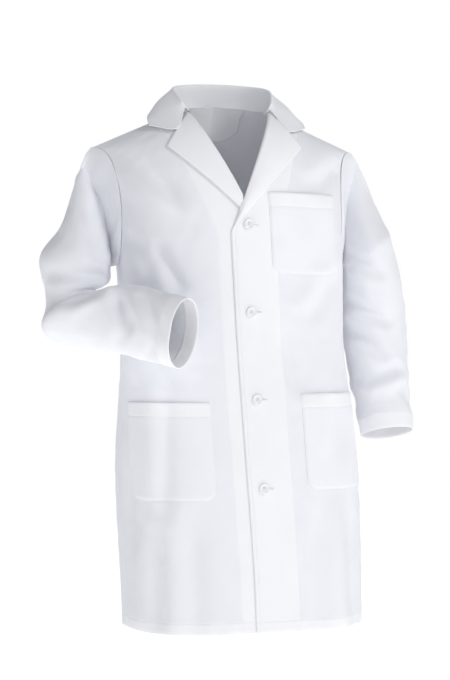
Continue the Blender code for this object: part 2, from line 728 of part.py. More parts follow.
def cylinder(name, radius, depth, sides, centres, finish=None, collection=CUTTERS):
    """Upright cylinders at these places, as one object."""
    build = bmesh.new()
    for x, y in centres:
        made = bmesh.ops.create_cone(
            build, cap_ends=True, segments=sides, radius1=radius, radius2=radius, depth=depth
        )
        bmesh.ops.translate(build, vec=(x, y, 0), verts=made["verts"])
    return mesh_object(name, build, finish, collection)


def facing_out(angle, v, offset):
    """A matrix at a place on the form, its Z away from the wearer and its Y up the cloth."""
    z = form_normal(angle, v)
    x = Vector((0, 0, 1)).cross(z).normalized()
    matrix = Matrix((x, z.cross(x), z)).transposed().to_4x4()
    matrix.translation = placed(angle, v, offset)
    return matrix


def make_buttons(fronts):
    """The buttons, their thread shanks and the holes they pass through."""
    rim = BUTTON_RADIUS
    outline = (
        (0, 0), (rim * 0.93, 0), (rim, 0.0007), (rim, BUTTON_RIM - 0.0006), (rim * 0.94, BUTTON_RIM),
        (rim * 0.82, BUTTON_RIM), (rim * 0.72, BUTTON_RIM - 0.0009), (0, BUTTON_RIM - 0.0009),
    )
    reach = BUTTON_HOLE_CIRCLE / math.sqrt(2)
    holes = [(a * reach, b * reach) for a in (-1, 1) for b in (-1, 1)]
    lift = stand_off(0.0, 1, 1.0) + PLY / 2
    for count, height in enumerate(BUTTON_HEIGHTS, 1):
        v = v_of_height(height) if height <= UNDERARM_HEIGHT else v_at_height(0.0, height)
        button = lathe(f"button_{count}", outline, BUTTON_WHITE)
        button.matrix_world = facing_out(0.0, v, lift + 0.0008)
        drill = cylinder(f"button_drill_{count}", BUTTON_HOLE_RADIUS, 0.02, 8, holes)
        drill.matrix_world = button.matrix_world
        cut(button, drill)
        low, high = PLY / 2 + 0.0006, lift + 0.0005
        shank = cylinder(f"button_shank_{count}", SHANK_RADIUS, high - low, 8, [(0, 0)], THREAD, COAT)
        shank.matrix_world = facing_out(0.0, v, (low + high) / 2)
        slit = block(f"buttonhole_cutter_{count}", (BUTTONHOLE[0], BUTTONHOLE[1], 0.010))
        middle = BUTTONHOLE[0] / 2 - 0.0025
        slit.matrix_world = facing_out(0.0, v, lift + INNER) @ Matrix.Translation((middle, 0, 0))
        for part in ("left_front", "left_front_facing"):
            cut(fronts[part], slit)


def main():
    """Builds the coat."""
    clear_scene()
    fronts = make_fronts()
    make_backs()
    for (name, side), rings in zip(SIDES, (RIGHT_RINGS, LEFT_RINGS)):
        make_sleeve(name, side, beside_body(rings, side))
    make_neck()
    make_pockets()
    make_buttons(fronts)


main()
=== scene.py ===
"""The looks of a knee-length lab coat: cut panels, settled as cloth round an unseen wearer.

Every piece of cloth is laid out on one coat form, given its folds by a short cloth simulation,
then resampled finely so that its edges, seams and stitched lines have real relief.
"""

from __future__ import annotations

import json
import logging
import math
from dataclasses import dataclass, field
from enum import Enum

import bpy
import numpy as np
from mathutils import Matrix, Vector

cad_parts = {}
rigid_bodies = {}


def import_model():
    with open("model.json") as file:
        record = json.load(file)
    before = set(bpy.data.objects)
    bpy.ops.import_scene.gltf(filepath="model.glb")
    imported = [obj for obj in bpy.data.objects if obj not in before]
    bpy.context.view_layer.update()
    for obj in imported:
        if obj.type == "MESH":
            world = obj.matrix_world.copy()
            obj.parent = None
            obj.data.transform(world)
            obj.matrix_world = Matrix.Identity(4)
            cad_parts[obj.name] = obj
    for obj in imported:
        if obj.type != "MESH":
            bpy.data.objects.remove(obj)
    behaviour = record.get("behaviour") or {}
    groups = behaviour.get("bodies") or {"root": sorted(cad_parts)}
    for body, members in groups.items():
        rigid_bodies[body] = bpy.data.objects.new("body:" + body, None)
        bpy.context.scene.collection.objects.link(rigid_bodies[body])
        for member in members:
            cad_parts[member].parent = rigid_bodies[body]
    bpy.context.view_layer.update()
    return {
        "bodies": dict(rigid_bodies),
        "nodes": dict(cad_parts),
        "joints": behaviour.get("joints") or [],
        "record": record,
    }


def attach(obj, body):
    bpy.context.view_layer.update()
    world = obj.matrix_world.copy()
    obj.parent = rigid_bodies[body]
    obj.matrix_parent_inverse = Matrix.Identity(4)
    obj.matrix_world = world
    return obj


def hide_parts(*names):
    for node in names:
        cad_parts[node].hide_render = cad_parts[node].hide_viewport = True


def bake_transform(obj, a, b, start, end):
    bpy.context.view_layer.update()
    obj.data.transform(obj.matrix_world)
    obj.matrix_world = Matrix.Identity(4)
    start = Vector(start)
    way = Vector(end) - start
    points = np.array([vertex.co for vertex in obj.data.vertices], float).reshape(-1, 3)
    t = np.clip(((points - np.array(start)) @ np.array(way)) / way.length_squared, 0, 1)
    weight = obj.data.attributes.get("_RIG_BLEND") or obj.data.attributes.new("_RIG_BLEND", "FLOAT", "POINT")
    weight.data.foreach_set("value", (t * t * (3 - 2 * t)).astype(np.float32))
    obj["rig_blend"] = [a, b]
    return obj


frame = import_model()
LOG = logging.getLogger("lab_coat")
MM = 0.001
EDGE_STITCH = 6 * MM  # from an edge to the stitches beside it


class Side(Enum):
    """A side of the coat, as the sign of X there."""

    RIGHT = -1
    LEFT = 1


# ---- helpers on arrays ----------------------------------------------------------------------------
def unit(vectors: np.ndarray) -> np.ndarray:
    """Vectors scaled to length 1."""
    return vectors / np.maximum(np.linalg.norm(vectors, axis=-1, keepdims=True), 1e-12)


def smooth(low: float, high: float, value: np.ndarray | float) -> np.ndarray | float:
    """0 below low, 1 above high, and a smooth step between them."""
    t = np.clip((np.asarray(value, float) - low) / (high - low), 0, 1)
    return t * t * (3 - 2 * t)


def resample(grid: np.ndarray, rows: np.ndarray, columns: np.ndarray, closed: bool = False) -> np.ndarray:
    """Reads a grid smoothly between its points.

    Args:
        grid: Values at whole-number rows and columns, (rows, columns, n).
        rows: Rows to read, with fractions.
        columns: Columns to read, with fractions.
        closed: True where the last column runs on to the first.

    Returns:
        The values at every pair of a row and a column, (len(rows), len(columns), n).
    """

    def blend(values: np.ndarray, places: np.ndarray, wrap: bool) -> np.ndarray:
        count = len(values)
        cell = np.floor(places).astype(int) if wrap else np.clip(np.floor(places).astype(int), 0, count - 2)
        t = (places - cell)[:, None, None]
        near = [cell + k for k in (-1, 0, 1, 2)]
        if wrap:
            a, b, c, d = (values[n % count] for n in near)
        else:
            b, c = values[cell], values[cell + 1]
            a = np.where((cell > 0)[:, None, None], values[np.maximum(cell - 1, 0)], 2 * b - c)
            last = (cell < count - 2)[:, None, None]
            d = np.where(last, values[np.minimum(cell + 2, count - 1)], 2 * c - b)
        return 0.5 * (
            2 * b + (c - a) * t + (2 * a - 5 * b + 4 * c - d) * t**2 + (3 * b - a - 3 * c + d) * t**3
        )

    down = blend(grid, rows, False)
    return np.swapaxes(blend(np.swapaxes(down, 0, 1), columns, closed), 0, 1)


def grid_normals(points: np.ndarray, closed: bool = False) -> np.ndarray:
    """Unit normals of a grid of points: across the columns, then up the rows, by the right hand."""
    across = (
        np.roll(points, -1, 1) - np.roll(points, 1, 1)
        if closed
        else np.gradient(points, axis=1)
    )
    return unit(np.cross(across, np.gradient(points, axis=0)))


def spaced(length: float, step: float, lines: tuple[float, ...] = (), fine: float = 0.0012) -> np.ndarray:
    """Places along a length, closer together round each stitched or sewn line.

    Args:
        length: How long it is.
        step: The usual spacing.
        lines: Places that get finer spacing.
        fine: The spacing there.

    Returns:
        The places, from 0 to length.
    """
    places = list(np.linspace(0, length, max(int(round(length / step)), 2) + 1))
    for line in lines:
        cluster = [line + k * fine for k in (-2, -1, 0, 1, 2)]
        low, high = cluster[0] - 0.4 * step, cluster[-1] + 0.4 * step
        places = [p for p in places if not low < p < high or p in (0, length)]
        places += [p for p in cluster if 0 < p < length]
    return np.array(sorted(places))


# ---- the coat form ----------------------------------------------------------------------------------
@dataclass
class CoatForm:
    """The shape that the coat takes on its wearer, the same as the solid model's.

    A place on it is a polar angle, 0 at the centre front and a quarter turn at the side, and a
    level: 0 to 1 from hem to underarm, then 1 to 2 up to the shoulder line.
    """

    nape_height: float = 1.020
    underarm: float = 0.700
    shoulder_height: float = 0.925
    break_height: float = 0.757
    shoulder_half: float = 0.262
    neck_half: float = 0.085
    shoulder_slope: float = 0.43
    ridge_depth: float = 0.015
    neck_rise: float = 0.022
    half_widths: tuple = ((0.0, 0.236), (0.30, 0.236), (0.56, 0.219), (0.700, 0.222))
    half_depths: tuple = ((0.0, 0.166), (0.30, 0.160), (0.56, 0.142), (0.700, 0.140))
    leans: tuple = ((0.0, 0.040), (0.36, 0.027), (0.78, 0.012), (1.020, 0.0))
    twist: float = math.radians(7)
    girth_power: float = 2.55
    shoulder_power: float = 2.6
    armhole_front: float = math.radians(13)
    armhole_back: float = math.radians(16)
    overlap: float = 0.030
    seam_level: float = 1.990
    nape_depth: float = field(init=False, default=0.0)

    def __post_init__(self) -> None:
        """Works out what depends on the shape itself."""
        back = np.array([math.pi])
        self.nape_depth = float(self.place(back, self.level_at(back, self.nape_height))[1][0])
        self.break_level = float(self.level_at(np.array([0.0]), self.break_height)[0])
        neck = self.place(np.array([self.neck_angle()]), np.array([self.seam_level]))
        self.neck_point = [float(c[0]) for c in neck]
        rise = self.neck_point[2] - self.break_height
        self.roll_run = (self.neck_point[0] + self.overlap) / rise
        self.crossing_height = self.break_height + self.overlap / self.roll_run

    @staticmethod
    def profile(stations: tuple, height: np.ndarray) -> np.ndarray:
        """A value that changes smoothly with height, level at each end of its stations."""
        heights, values = np.array(stations).T
        slopes = np.zeros(len(values))
        slopes[1:-1] = (values[2:] - values[:-2]) / (heights[2:] - heights[:-2])
        h = np.clip(height, heights[0], heights[-1])
        i = np.clip(np.searchsorted(heights, h) - 1, 0, len(heights) - 2)
        span = heights[i + 1] - heights[i]
        t = (h - heights[i]) / span
        return (
            values[i] * (1 + 2 * t) * (1 - t) ** 2
            + slopes[i] * span * t * (1 - t) ** 2
            + values[i + 1] * t * t * (3 - 2 * t)
            + slopes[i + 1] * span * t * t * (t - 1)
        )

    def girth(self, angle: np.ndarray, height: np.ndarray) -> tuple[np.ndarray, np.ndarray]:
        """(x, y) on the body's outline at a height."""
        width, depth = self.profile(self.half_widths, height), self.profile(self.half_depths, height)
        sine, cosine = np.sin(angle), np.cos(angle)
        power = np.abs(sine / width) ** self.girth_power + np.abs(cosine / depth) ** self.girth_power
        radius = power ** (-1 / self.girth_power)
        return radius * sine, -radius * cosine

    def ridge(self, x_below: np.ndarray) -> tuple[np.ndarray, np.ndarray]:
        """(x, height) on the shoulder line above a point of the underarm outline."""
        x = x_below * self.shoulder_half / float(self.profile(self.half_widths, np.array(self.underarm)))
        across = np.abs(x)
        rise = self.neck_rise * (1 - np.minimum(across / self.neck_half, 1.0) ** 2) ** 2
        return x, self.shoulder_height + self.shoulder_slope * (self.shoulder_half - across) + rise

    def place(self, angle: np.ndarray, level: np.ndarray) -> tuple[np.ndarray, np.ndarray, np.ndarray]:
        """(x, y, height) on the upright form."""
        angle, level = np.broadcast_arrays(np.asarray(angle, float), np.asarray(level, float))
        height = np.minimum(level, 1.0) * self.underarm
        x, y = self.girth(angle, height)
        turn = np.clip(level - 1, 0, 1) * math.pi / 2
        out, up = np.cos(turn), np.sin(turn)
        size = (out**self.shoulder_power + up**self.shoulder_power) ** (-1 / self.shoulder_power)
        out, up = out * size, up * size
        x_ridge, ridge = self.ridge(x)
        above = level > 1
        return (
            np.where(above, x_ridge + (x - x_ridge) * out, x),
            np.where(above, self.ridge_depth + (y - self.ridge_depth) * out, y),
            np.where(above, self.underarm + (ridge - self.underarm) * up, height),
        )

    def stood(self, x: np.ndarray, y: np.ndarray, height: np.ndarray) -> np.ndarray:
        """Places on the upright coat moved to where the wearer's stance takes them."""
        turn = self.twist * (1 - np.minimum(height / self.nape_height, 1.0))
        return np.stack(
            [
                self.profile(self.leans, height) + x * np.cos(turn) - y * np.sin(turn),
                x * np.sin(turn) + y * np.cos(turn) - self.nape_depth,
                height - self.nape_height,
            ],
            axis=-1,
        )

    def point(self, angle: np.ndarray, level: np.ndarray) -> np.ndarray:
        """Points of the form as the wearer stands."""
        return self.stood(*self.place(angle, level))

    def level_at(self, angle: np.ndarray, height: float | np.ndarray) -> np.ndarray:
        """The level at which the line at this angle reaches a height."""
        angle = np.asarray(angle, float)
        _, ridge = self.ridge(self.girth(angle, np.full(angle.shape, self.underarm))[0])
        up = np.clip((height - self.underarm) / (ridge - self.underarm), 0, 1)
        out = (1 - up**self.shoulder_power) ** (1 / self.shoulder_power)
        above = 1 + np.arctan2(up, out) / (math.pi / 2)
        return np.where(np.asarray(height) > self.underarm, above, height / self.underarm)

    def neck_angle(self, front: bool = True) -> float:
        """The polar angle whose line ends at the side of the neck."""
        below = float(self.profile(self.half_widths, np.array(self.underarm)))
        target = self.neck_half * below / self.shoulder_half
        angles = np.linspace(0, math.pi / 2, 4001)
        x = self.girth(angles, np.full(angles.shape, self.underarm))[0]
        found = float(np.interp(target, x, angles))
        return found if front else math.pi - found

    def quarter(self, level: float) -> tuple[np.ndarray, np.ndarray]:
        """(angles, distances round the cloth) from the centre front to the side."""
        angles = np.linspace(0, math.pi / 2, 121)
        x, y = self.girth(angles, np.full(angles.shape, min(level, 1.0) * self.underarm))
        return angles, np.concatenate([[0.0], np.cumsum(np.hypot(np.diff(x), np.diff(y)))])

    def angle_at(self, distance: np.ndarray, level: float) -> np.ndarray:
        """The polar angle that lies this far round the cloth from the centre front."""
        angles, distances = self.quarter(level)
        return np.sign(distance) * np.interp(np.abs(distance), distances, angles)

    def armhole(self, level: float, front: bool) -> float:
        """The polar angle of the armhole's front or back edge."""
        bow = math.sin(math.pi * (level - 1)) ** 0.6 if 1 < level < 2 else 0.0
        bow = max(bow, 0.25) if level > 1.5 else bow
        return math.pi / 2 - self.armhole_front * bow if front else math.pi / 2 + self.armhole_back * bow

    def roll_angle(self, level: float) -> float:
        """The polar angle at which a level above the break meets the roll line."""
        angles = np.linspace(math.radians(-20), math.radians(80), 3001)
        x, _, height = self.place(angles, np.full(angles.shape, level))
        off = x - (self.roll_run * (height - self.break_height) - self.overlap)
        return float(angles[int(np.argmax(off > 0))])

    def front_at(self, x: np.ndarray, height: np.ndarray) -> tuple[np.ndarray, np.ndarray]:
        """(angle, level) of points on the front of the upright form, by bisection."""
        low = np.full(np.shape(x), math.radians(-60))
        high = np.full(np.shape(x), math.radians(90))
        for _ in range(34):
            middle = (low + high) / 2
            left = self.place(middle, self.level_at(middle, height))[0] < x
            low, high = np.where(left, middle, low), np.where(left, high, middle)
        return low, self.level_at(low, height)

    def above_front(
        self, sign: int, x: np.ndarray, height: np.ndarray, lift: np.ndarray | float
    ) -> np.ndarray:
        """Points above the front of the form, x being the distance out from the middle to one side."""
        angle, level = self.front_at(x, height)
        step = 1e-3
        around = self.point(sign * angle + step, level) - self.point(sign * angle - step, level)
        over = self.point(sign * angle, level) - self.point(sign * angle, level - step)
        return self.point(sign * angle, level) + unit(np.cross(around, over)) * np.asarray(lift)[..., None]


# ---- cloth laid on the form, given its folds, then cut finely ---------------------------------------
@dataclass(frozen=True)
class Fold:
    """A soft valley across the cloth with a ridge to one side, seen square on from the front or back."""

    start: tuple[float, float]
    end: tuple[float, float]
    width: float
    depth: float
    ridge: float = 0.6
    front: bool = True

    def push(self, points: np.ndarray, normals: np.ndarray) -> np.ndarray:
        """How far out of the cloth each point goes: below zero is inwards."""
        a, b = np.array(self.start), np.array(self.end)
        run, flat = b - a, points[..., [0, 2]] - a
        length = np.linalg.norm(run)
        share = (flat @ run) / length**2
        off = (flat[..., 0] * run[1] - flat[..., 1] * run[0]) / length / self.width
        ends = smooth(-0.15, 0.3, share) * (1 - smooth(0.7, 1.15, share))
        facing = smooth(0.0, 0.35, -normals[..., 1] if self.front else normals[..., 1])
        shape = -np.exp(-(off**2)) + self.ridge * np.exp(-(((off - 1.7) / 1.1) ** 2))
        return self.depth * shape * ends * facing


@dataclass
class Panel:
    """A cut piece of the coat as a coarse grid of points: rows run up it, columns run round the wearer.

    levels and places say where each row and column is, both increasing. closed is for a tube.
    """

    name: str
    levels: np.ndarray
    places: np.ndarray
    laid: np.ndarray
    closed: bool = False
    settled: np.ndarray = field(init=False)

    def __post_init__(self) -> None:
        """Starts out as it is laid."""
        self.settled = self.laid.copy()

    def fold(self, folds: tuple[Fold, ...], hold: np.ndarray) -> None:
        """Presses folds into it, less where hold is near 1."""
        normals = grid_normals(self.settled, self.closed)
        push = sum(f.push(self.settled, normals) for f in folds)
        self.settled = self.settled + normals * (push * (1 - hold))[..., None]

    def settle(self, hold: np.ndarray, ease: float, cap: float) -> None:
        """Lets it crumple and hang a little as cloth, held fast where hold is 1.

        Args:
            hold: How firmly each point stays, from 0 to 1.
            ease: The share by which the cloth is larger than the place it lies in.
            cap: The most that a point may move, in metres.
        """
        rows, columns = self.settled.shape[:2]
        mesh = bpy.data.meshes.new(self.name + "_loose")
        mesh.from_pydata(self.settled.reshape(-1, 3).tolist(), [], grid_faces(rows, columns, self.closed))
        loose = put(mesh.name, mesh)
        group = loose.vertex_groups.new(name="hold")
        for index, weight in enumerate(hold.reshape(-1)):
            group.add([index], float(weight), "REPLACE")
        cloth = loose.modifiers.new("cloth", "CLOTH").settings
        cloth.quality, cloth.mass, cloth.time_scale = 5, 0.15, 1.0
        cloth.tension_stiffness = cloth.compression_stiffness = 15
        cloth.shear_stiffness, cloth.bending_stiffness = 6, 1.2
        cloth.tension_damping = cloth.compression_damping = 10
        cloth.bending_damping = 2
        cloth.vertex_group_mass, cloth.pin_stiffness = "hold", 1.0
        cloth.shrink_min = -ease
        scene = bpy.context.scene
        for frame in range(1, 19):
            scene.frame_set(frame)
        graph = bpy.context.evaluated_depsgraph_get()
        moved = np.empty(rows * columns * 3, np.float32)
        loose.evaluated_get(graph).data.vertices.foreach_get("co", moved)
        bpy.data.objects.remove(loose)
        scene.frame_set(1)
        shift = moved.reshape(self.settled.shape).astype(float) - self.settled
        for _ in range(2):
            shift = soften(shift, self.closed)
        length = np.linalg.norm(shift, axis=-1, keepdims=True)
        self.settled = self.settled + shift * np.minimum(1.0, cap / np.maximum(length, 1e-9))
        LOG.info("%s settled, moving up to %.1f mm", self.name, length.max() / MM)

    def sample(self, levels: np.ndarray, places: np.ndarray) -> np.ndarray:
        """Points of the settled cloth at every pair of a level and a place."""
        rows = np.interp(levels, self.levels, np.arange(len(self.levels)))
        columns = np.interp(places, self.places, np.arange(len(self.places)))
        return resample(self.settled, rows, columns, self.closed)

    def spot(self, level: float, place: float, lift: float = 0.0) -> tuple[np.ndarray, np.ndarray]:
        """A point on or above the settled cloth, and the outward normal there."""
        steps = np.array([-0.002, 0.0, 0.002])
        near = self.sample(level + steps, place + steps)
        normal = grid_normals(near)[1, 1]
        return near[1, 1] + normal * lift, normal


def soften(shift: np.ndarray, closed: bool) -> np.ndarray:
    """Evens out a grid of moves with its neighbours, leaving the edges as they are."""
    soft = shift.copy()
    soft[1:-1] = (shift[:-2] + 2 * shift[1:-1] + shift[2:]) / 4
    across = soft.copy()
    if closed:
        return (np.roll(soft, 1, 1) + 2 * soft + np.roll(soft, -1, 1)) / 4
    across[:, 1:-1] = (soft[:, :-2] + 2 * soft[:, 1:-1] + soft[:, 2:]) / 4
    return across


def put(name: str, data: bpy.types.ID) -> bpy.types.Object:
    """A new object at the origin, linked into the scene."""
    made = bpy.data.objects.new(name, data)
    bpy.context.scene.collection.objects.link(made)
    return made


def grid_faces(rows: int, columns: int, closed: bool, start: int = 0, turned: bool = False) -> list:
    """Quads over a grid of vertices, numbered row by row from start."""
    faces = []
    for r in range(rows - 1):
        for c in range(columns if closed else columns - 1):
            d = (c + 1) % columns
            quad = (r * columns + c, r * columns + d, (r + 1) * columns + d, (r + 1) * columns + c)
            faces.append(tuple(start + i for i in (reversed(quad) if turned else quad)))
    return faces


@dataclass
class Ply:
    """A finished piece of cloth: its outer surface as a fine grid, and its thickness at each point.

    across and up are distances along the cloth in metres, for its weave. layers is 1 for single
    cloth and 2 where a hem or facing lies behind it. open_rows are end rows that another piece
    carries on from.
    """

    name: str
    outer: np.ndarray
    thickness: np.ndarray | float
    closed: bool = False
    layers: np.ndarray | float = 1.0
    open_rows: tuple[int, ...] = ()
    normals: np.ndarray | None = None
    vertex_rows: np.ndarray = field(init=False)

    def flat(self) -> tuple[float, float, float]:
        """(width, length, area) of the cloth laid flat."""
        points = np.concatenate([self.outer, self.outer[:, :1]], 1) if self.closed else self.outer
        width = float(np.linalg.norm(np.diff(points, axis=1), axis=-1).sum(1).max())
        length = float(np.linalg.norm(np.diff(points, axis=0), axis=-1).sum(0).max())
        near, far, left, right = points[:-1, :-1], points[1:, 1:], points[1:, :-1], points[:-1, 1:]
        one = np.linalg.norm(np.cross(left - near, right - near), axis=-1)
        two = np.linalg.norm(np.cross(left - far, right - far), axis=-1)
        return width, length, float((one + two).sum() / 2)

    def build(self, finish: bpy.types.Material) -> bpy.types.Object:
        """Makes the closed mesh of the ply.

        Args:
            finish: Its material.

        Returns:
            The object, at the origin.
        """
        rows, columns = self.outer.shape[:2]
        normals = grid_normals(self.outer, self.closed) if self.normals is None else self.normals
        thick = np.broadcast_to(np.asarray(self.thickness, float), (rows, columns))[..., None]
        inner = self.outer - normals * thick
        count = rows * columns
        vertices = np.concatenate([self.outer.reshape(-1, 3), inner.reshape(-1, 3)])
        faces = grid_faces(rows, columns, self.closed)
        faces += grid_faces(rows, columns, self.closed, count, True)
        rim = self.rim(rows, columns)
        middle_start = len(vertices)
        edge = np.array([i for i in dict.fromkeys(i for line in rim for i in line)])
        flat_outer, flat_inner = self.outer.reshape(-1, 3), inner.reshape(-1, 3)
        away = self.away().reshape(-1, 3)[edge]
        bulge = 0.4 * np.broadcast_to(thick, (rows, columns, 1)).reshape(-1, 1)[edge]
        ends = np.isin(edge // columns, [r % rows for r in self.open_rows])[:, None]
        middle = (flat_outer[edge] + flat_inner[edge]) / 2 + away * np.where(ends, 0, bulge)
        vertices = np.concatenate([vertices, middle])
        row_of = np.arange(count) // columns
        self.vertex_rows = np.concatenate([row_of, row_of, edge // columns])
        index = {int(e): middle_start + i for i, e in enumerate(edge)}
        for line in rim:
            for a, b in zip(line, line[1:]):
                faces.append((b, a, index[a], index[b]))
                faces.append((index[b], index[a], a + count, b + count))
        mesh = bpy.data.meshes.new(self.name)
        mesh.from_pydata(vertices.tolist(), [], faces)
        mesh.polygons.foreach_set("use_smooth", [True] * len(mesh.polygons))
        self.lay_weave(mesh, edge, count)
        mesh.materials.append(finish)
        mesh.validate()
        if self.open_rows:
            self.carry_on(mesh, normals, count)
        return put(self.name, mesh)

    def rim(self, rows: int, columns: int) -> list[list[int]]:
        """The lines of vertices along its free edges, each with the cloth on its left."""
        at = np.arange(rows * columns).reshape(rows, columns)
        low, high = at[0], at[-1][::-1]
        if self.closed:
            return [[*low, low[0]], [*high, high[0]]]
        loop = [*low, *at[1:-1, -1], *high, *at[1:-1, 0][::-1], low[0]]
        return [[int(i) for i in loop]]

    def away(self) -> np.ndarray:
        """At each point near an edge, the unit direction out of the cloth's edge, along the cloth."""
        out = np.zeros_like(self.outer)
        out[0] += unit(self.outer[0] - self.outer[1])
        out[-1] += unit(self.outer[-1] - self.outer[-2])
        if not self.closed:
            out[:, 0] += unit(self.outer[:, 0] - self.outer[:, 1])
            out[:, -1] += unit(self.outer[:, -1] - self.outer[:, -2])
        return unit(out)

    def lay_weave(self, mesh: bpy.types.Mesh, edge: np.ndarray, count: int) -> None:
        """Gives the mesh its weave coordinates, in metres along the cloth, and its layers."""
        across = np.linalg.norm(np.diff(self.outer, axis=1), axis=-1).mean(0)
        up = np.linalg.norm(np.diff(self.outer, axis=0), axis=-1).mean(1)
        u, v = np.concatenate([[0], np.cumsum(across)]), np.concatenate([[0], np.cumsum(up)])
        grid = np.stack(np.broadcast_arrays(u[None], v[:, None]), -1).reshape(-1, 2)
        coordinates = np.concatenate([grid, grid, grid[edge]])
        loops = np.empty(len(mesh.loops), np.int32)
        mesh.loops.foreach_get("vertex_index", loops)
        laid = coordinates[loops].reshape(-1).astype(np.float32)
        mesh.uv_layers.new(name="weave").data.foreach_set("uv", laid)
        layers = np.broadcast_to(np.asarray(self.layers, float), self.outer.shape[:2]).reshape(-1)
        values = np.concatenate([layers, layers, layers[edge]]).astype(np.float32)
        mesh.attributes.new("layers", "FLOAT", "POINT").data.foreach_set("value", values)

    def carry_on(self, mesh: bpy.types.Mesh, normals: np.ndarray, count: int) -> None:
        """Shades the open rows as if the cloth ran on, so that no line shows where two pieces meet."""
        found = np.empty(len(mesh.vertices) * 3, np.float32)
        mesh.vertex_normals.foreach_get("vector", found)
        found = found.reshape(-1, 3)
        rows, columns = self.outer.shape[:2]
        for row in self.open_rows:
            at = np.arange(columns) + (row % rows) * columns
            found[at], found[at + count] = normals[row], -normals[row]
        mesh.normals_split_custom_set_from_vertices(found.tolist())


@dataclass(frozen=True)
class Motion:
    """What a piece moves with: one body, or two that it bends between."""

    body: str
    other: str = ""
    start: tuple = (0.0, 0.0, -0.765)
    end: tuple = (0.0, 0.0, -1.0)

    def apply(self, piece: bpy.types.Object) -> None:
        """Hands the piece to its body or bodies."""
        if self.other:
            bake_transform(piece, self.body, self.other, self.start, self.end)
        else:
            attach(piece, self.body)


TORSO = Motion("torso")
SKIRTS = {
    Side.RIGHT: Motion("torso", "right_skirt"),
    Side.LEFT: Motion("torso", "left_skirt"),
}


@dataclass
class Seams:
    """Lines of stitches that move alike, gathered to be sewn at once."""

    name: str
    motion: Motion
    lines: list = field(default_factory=list)

    def add(self, points: np.ndarray, normals: np.ndarray, lift: float = 0.0001) -> None:
        """Adds one line of stitching along points on the cloth's surface."""
        self.lines.append((points + normals * lift, normals))

    def sew(self, stitching: "Stitching") -> bpy.types.Object | None:
        """Makes every stitch and hands them to the seams' body."""
        if not self.lines:
            return None
        piece = stitching.along(self.name, self.lines)
        self.motion.apply(piece)
        LOG.info("%s: %d lines, %d faces", self.name, len(self.lines), len(piece.data.polygons))
        return piece


# ---- finishes ------------------------------------------------------------------------------------------
def new_finish(name: str) -> tuple[bpy.types.Material, bpy.types.NodeTree, bpy.types.Node]:
    """A new material, its node tree and its shader."""
    made = bpy.data.materials.new(name)
    made.use_nodes = True
    return made, made.node_tree, made.node_tree.nodes["Principled BSDF"]


def linear(colour: str) -> tuple[float, float, float, float]:
    """An sRGB hex colour as linear RGB with alpha 1."""
    parts = [int(colour.lstrip("#")[i : i + 2], 16) / 255 for i in (0, 2, 4)]
    return (*(p / 12.92 if p <= 0.04045 else ((p + 0.055) / 1.055) ** 2.4 for p in parts), 1.0)


def add_node(
    tree: bpy.types.NodeTree, kind: str, inputs: dict | None = None, **settings: object
) -> bpy.types.Node:
    """Adds a node.

    Args:
        tree: The tree it goes in.
        kind: Its type.
        inputs: Values or output sockets, by input name or number.
        settings: Its properties.

    Returns:
        The node.
    """
    node = tree.nodes.new(kind)
    for key, value in settings.items():
        setattr(node, key, value)
    for key, value in (inputs or {}).items():
        socket = node.inputs[key]
        if isinstance(value, bpy.types.NodeSocket):
            tree.links.new(value, socket)
        else:
            socket.default_value = value
    return node


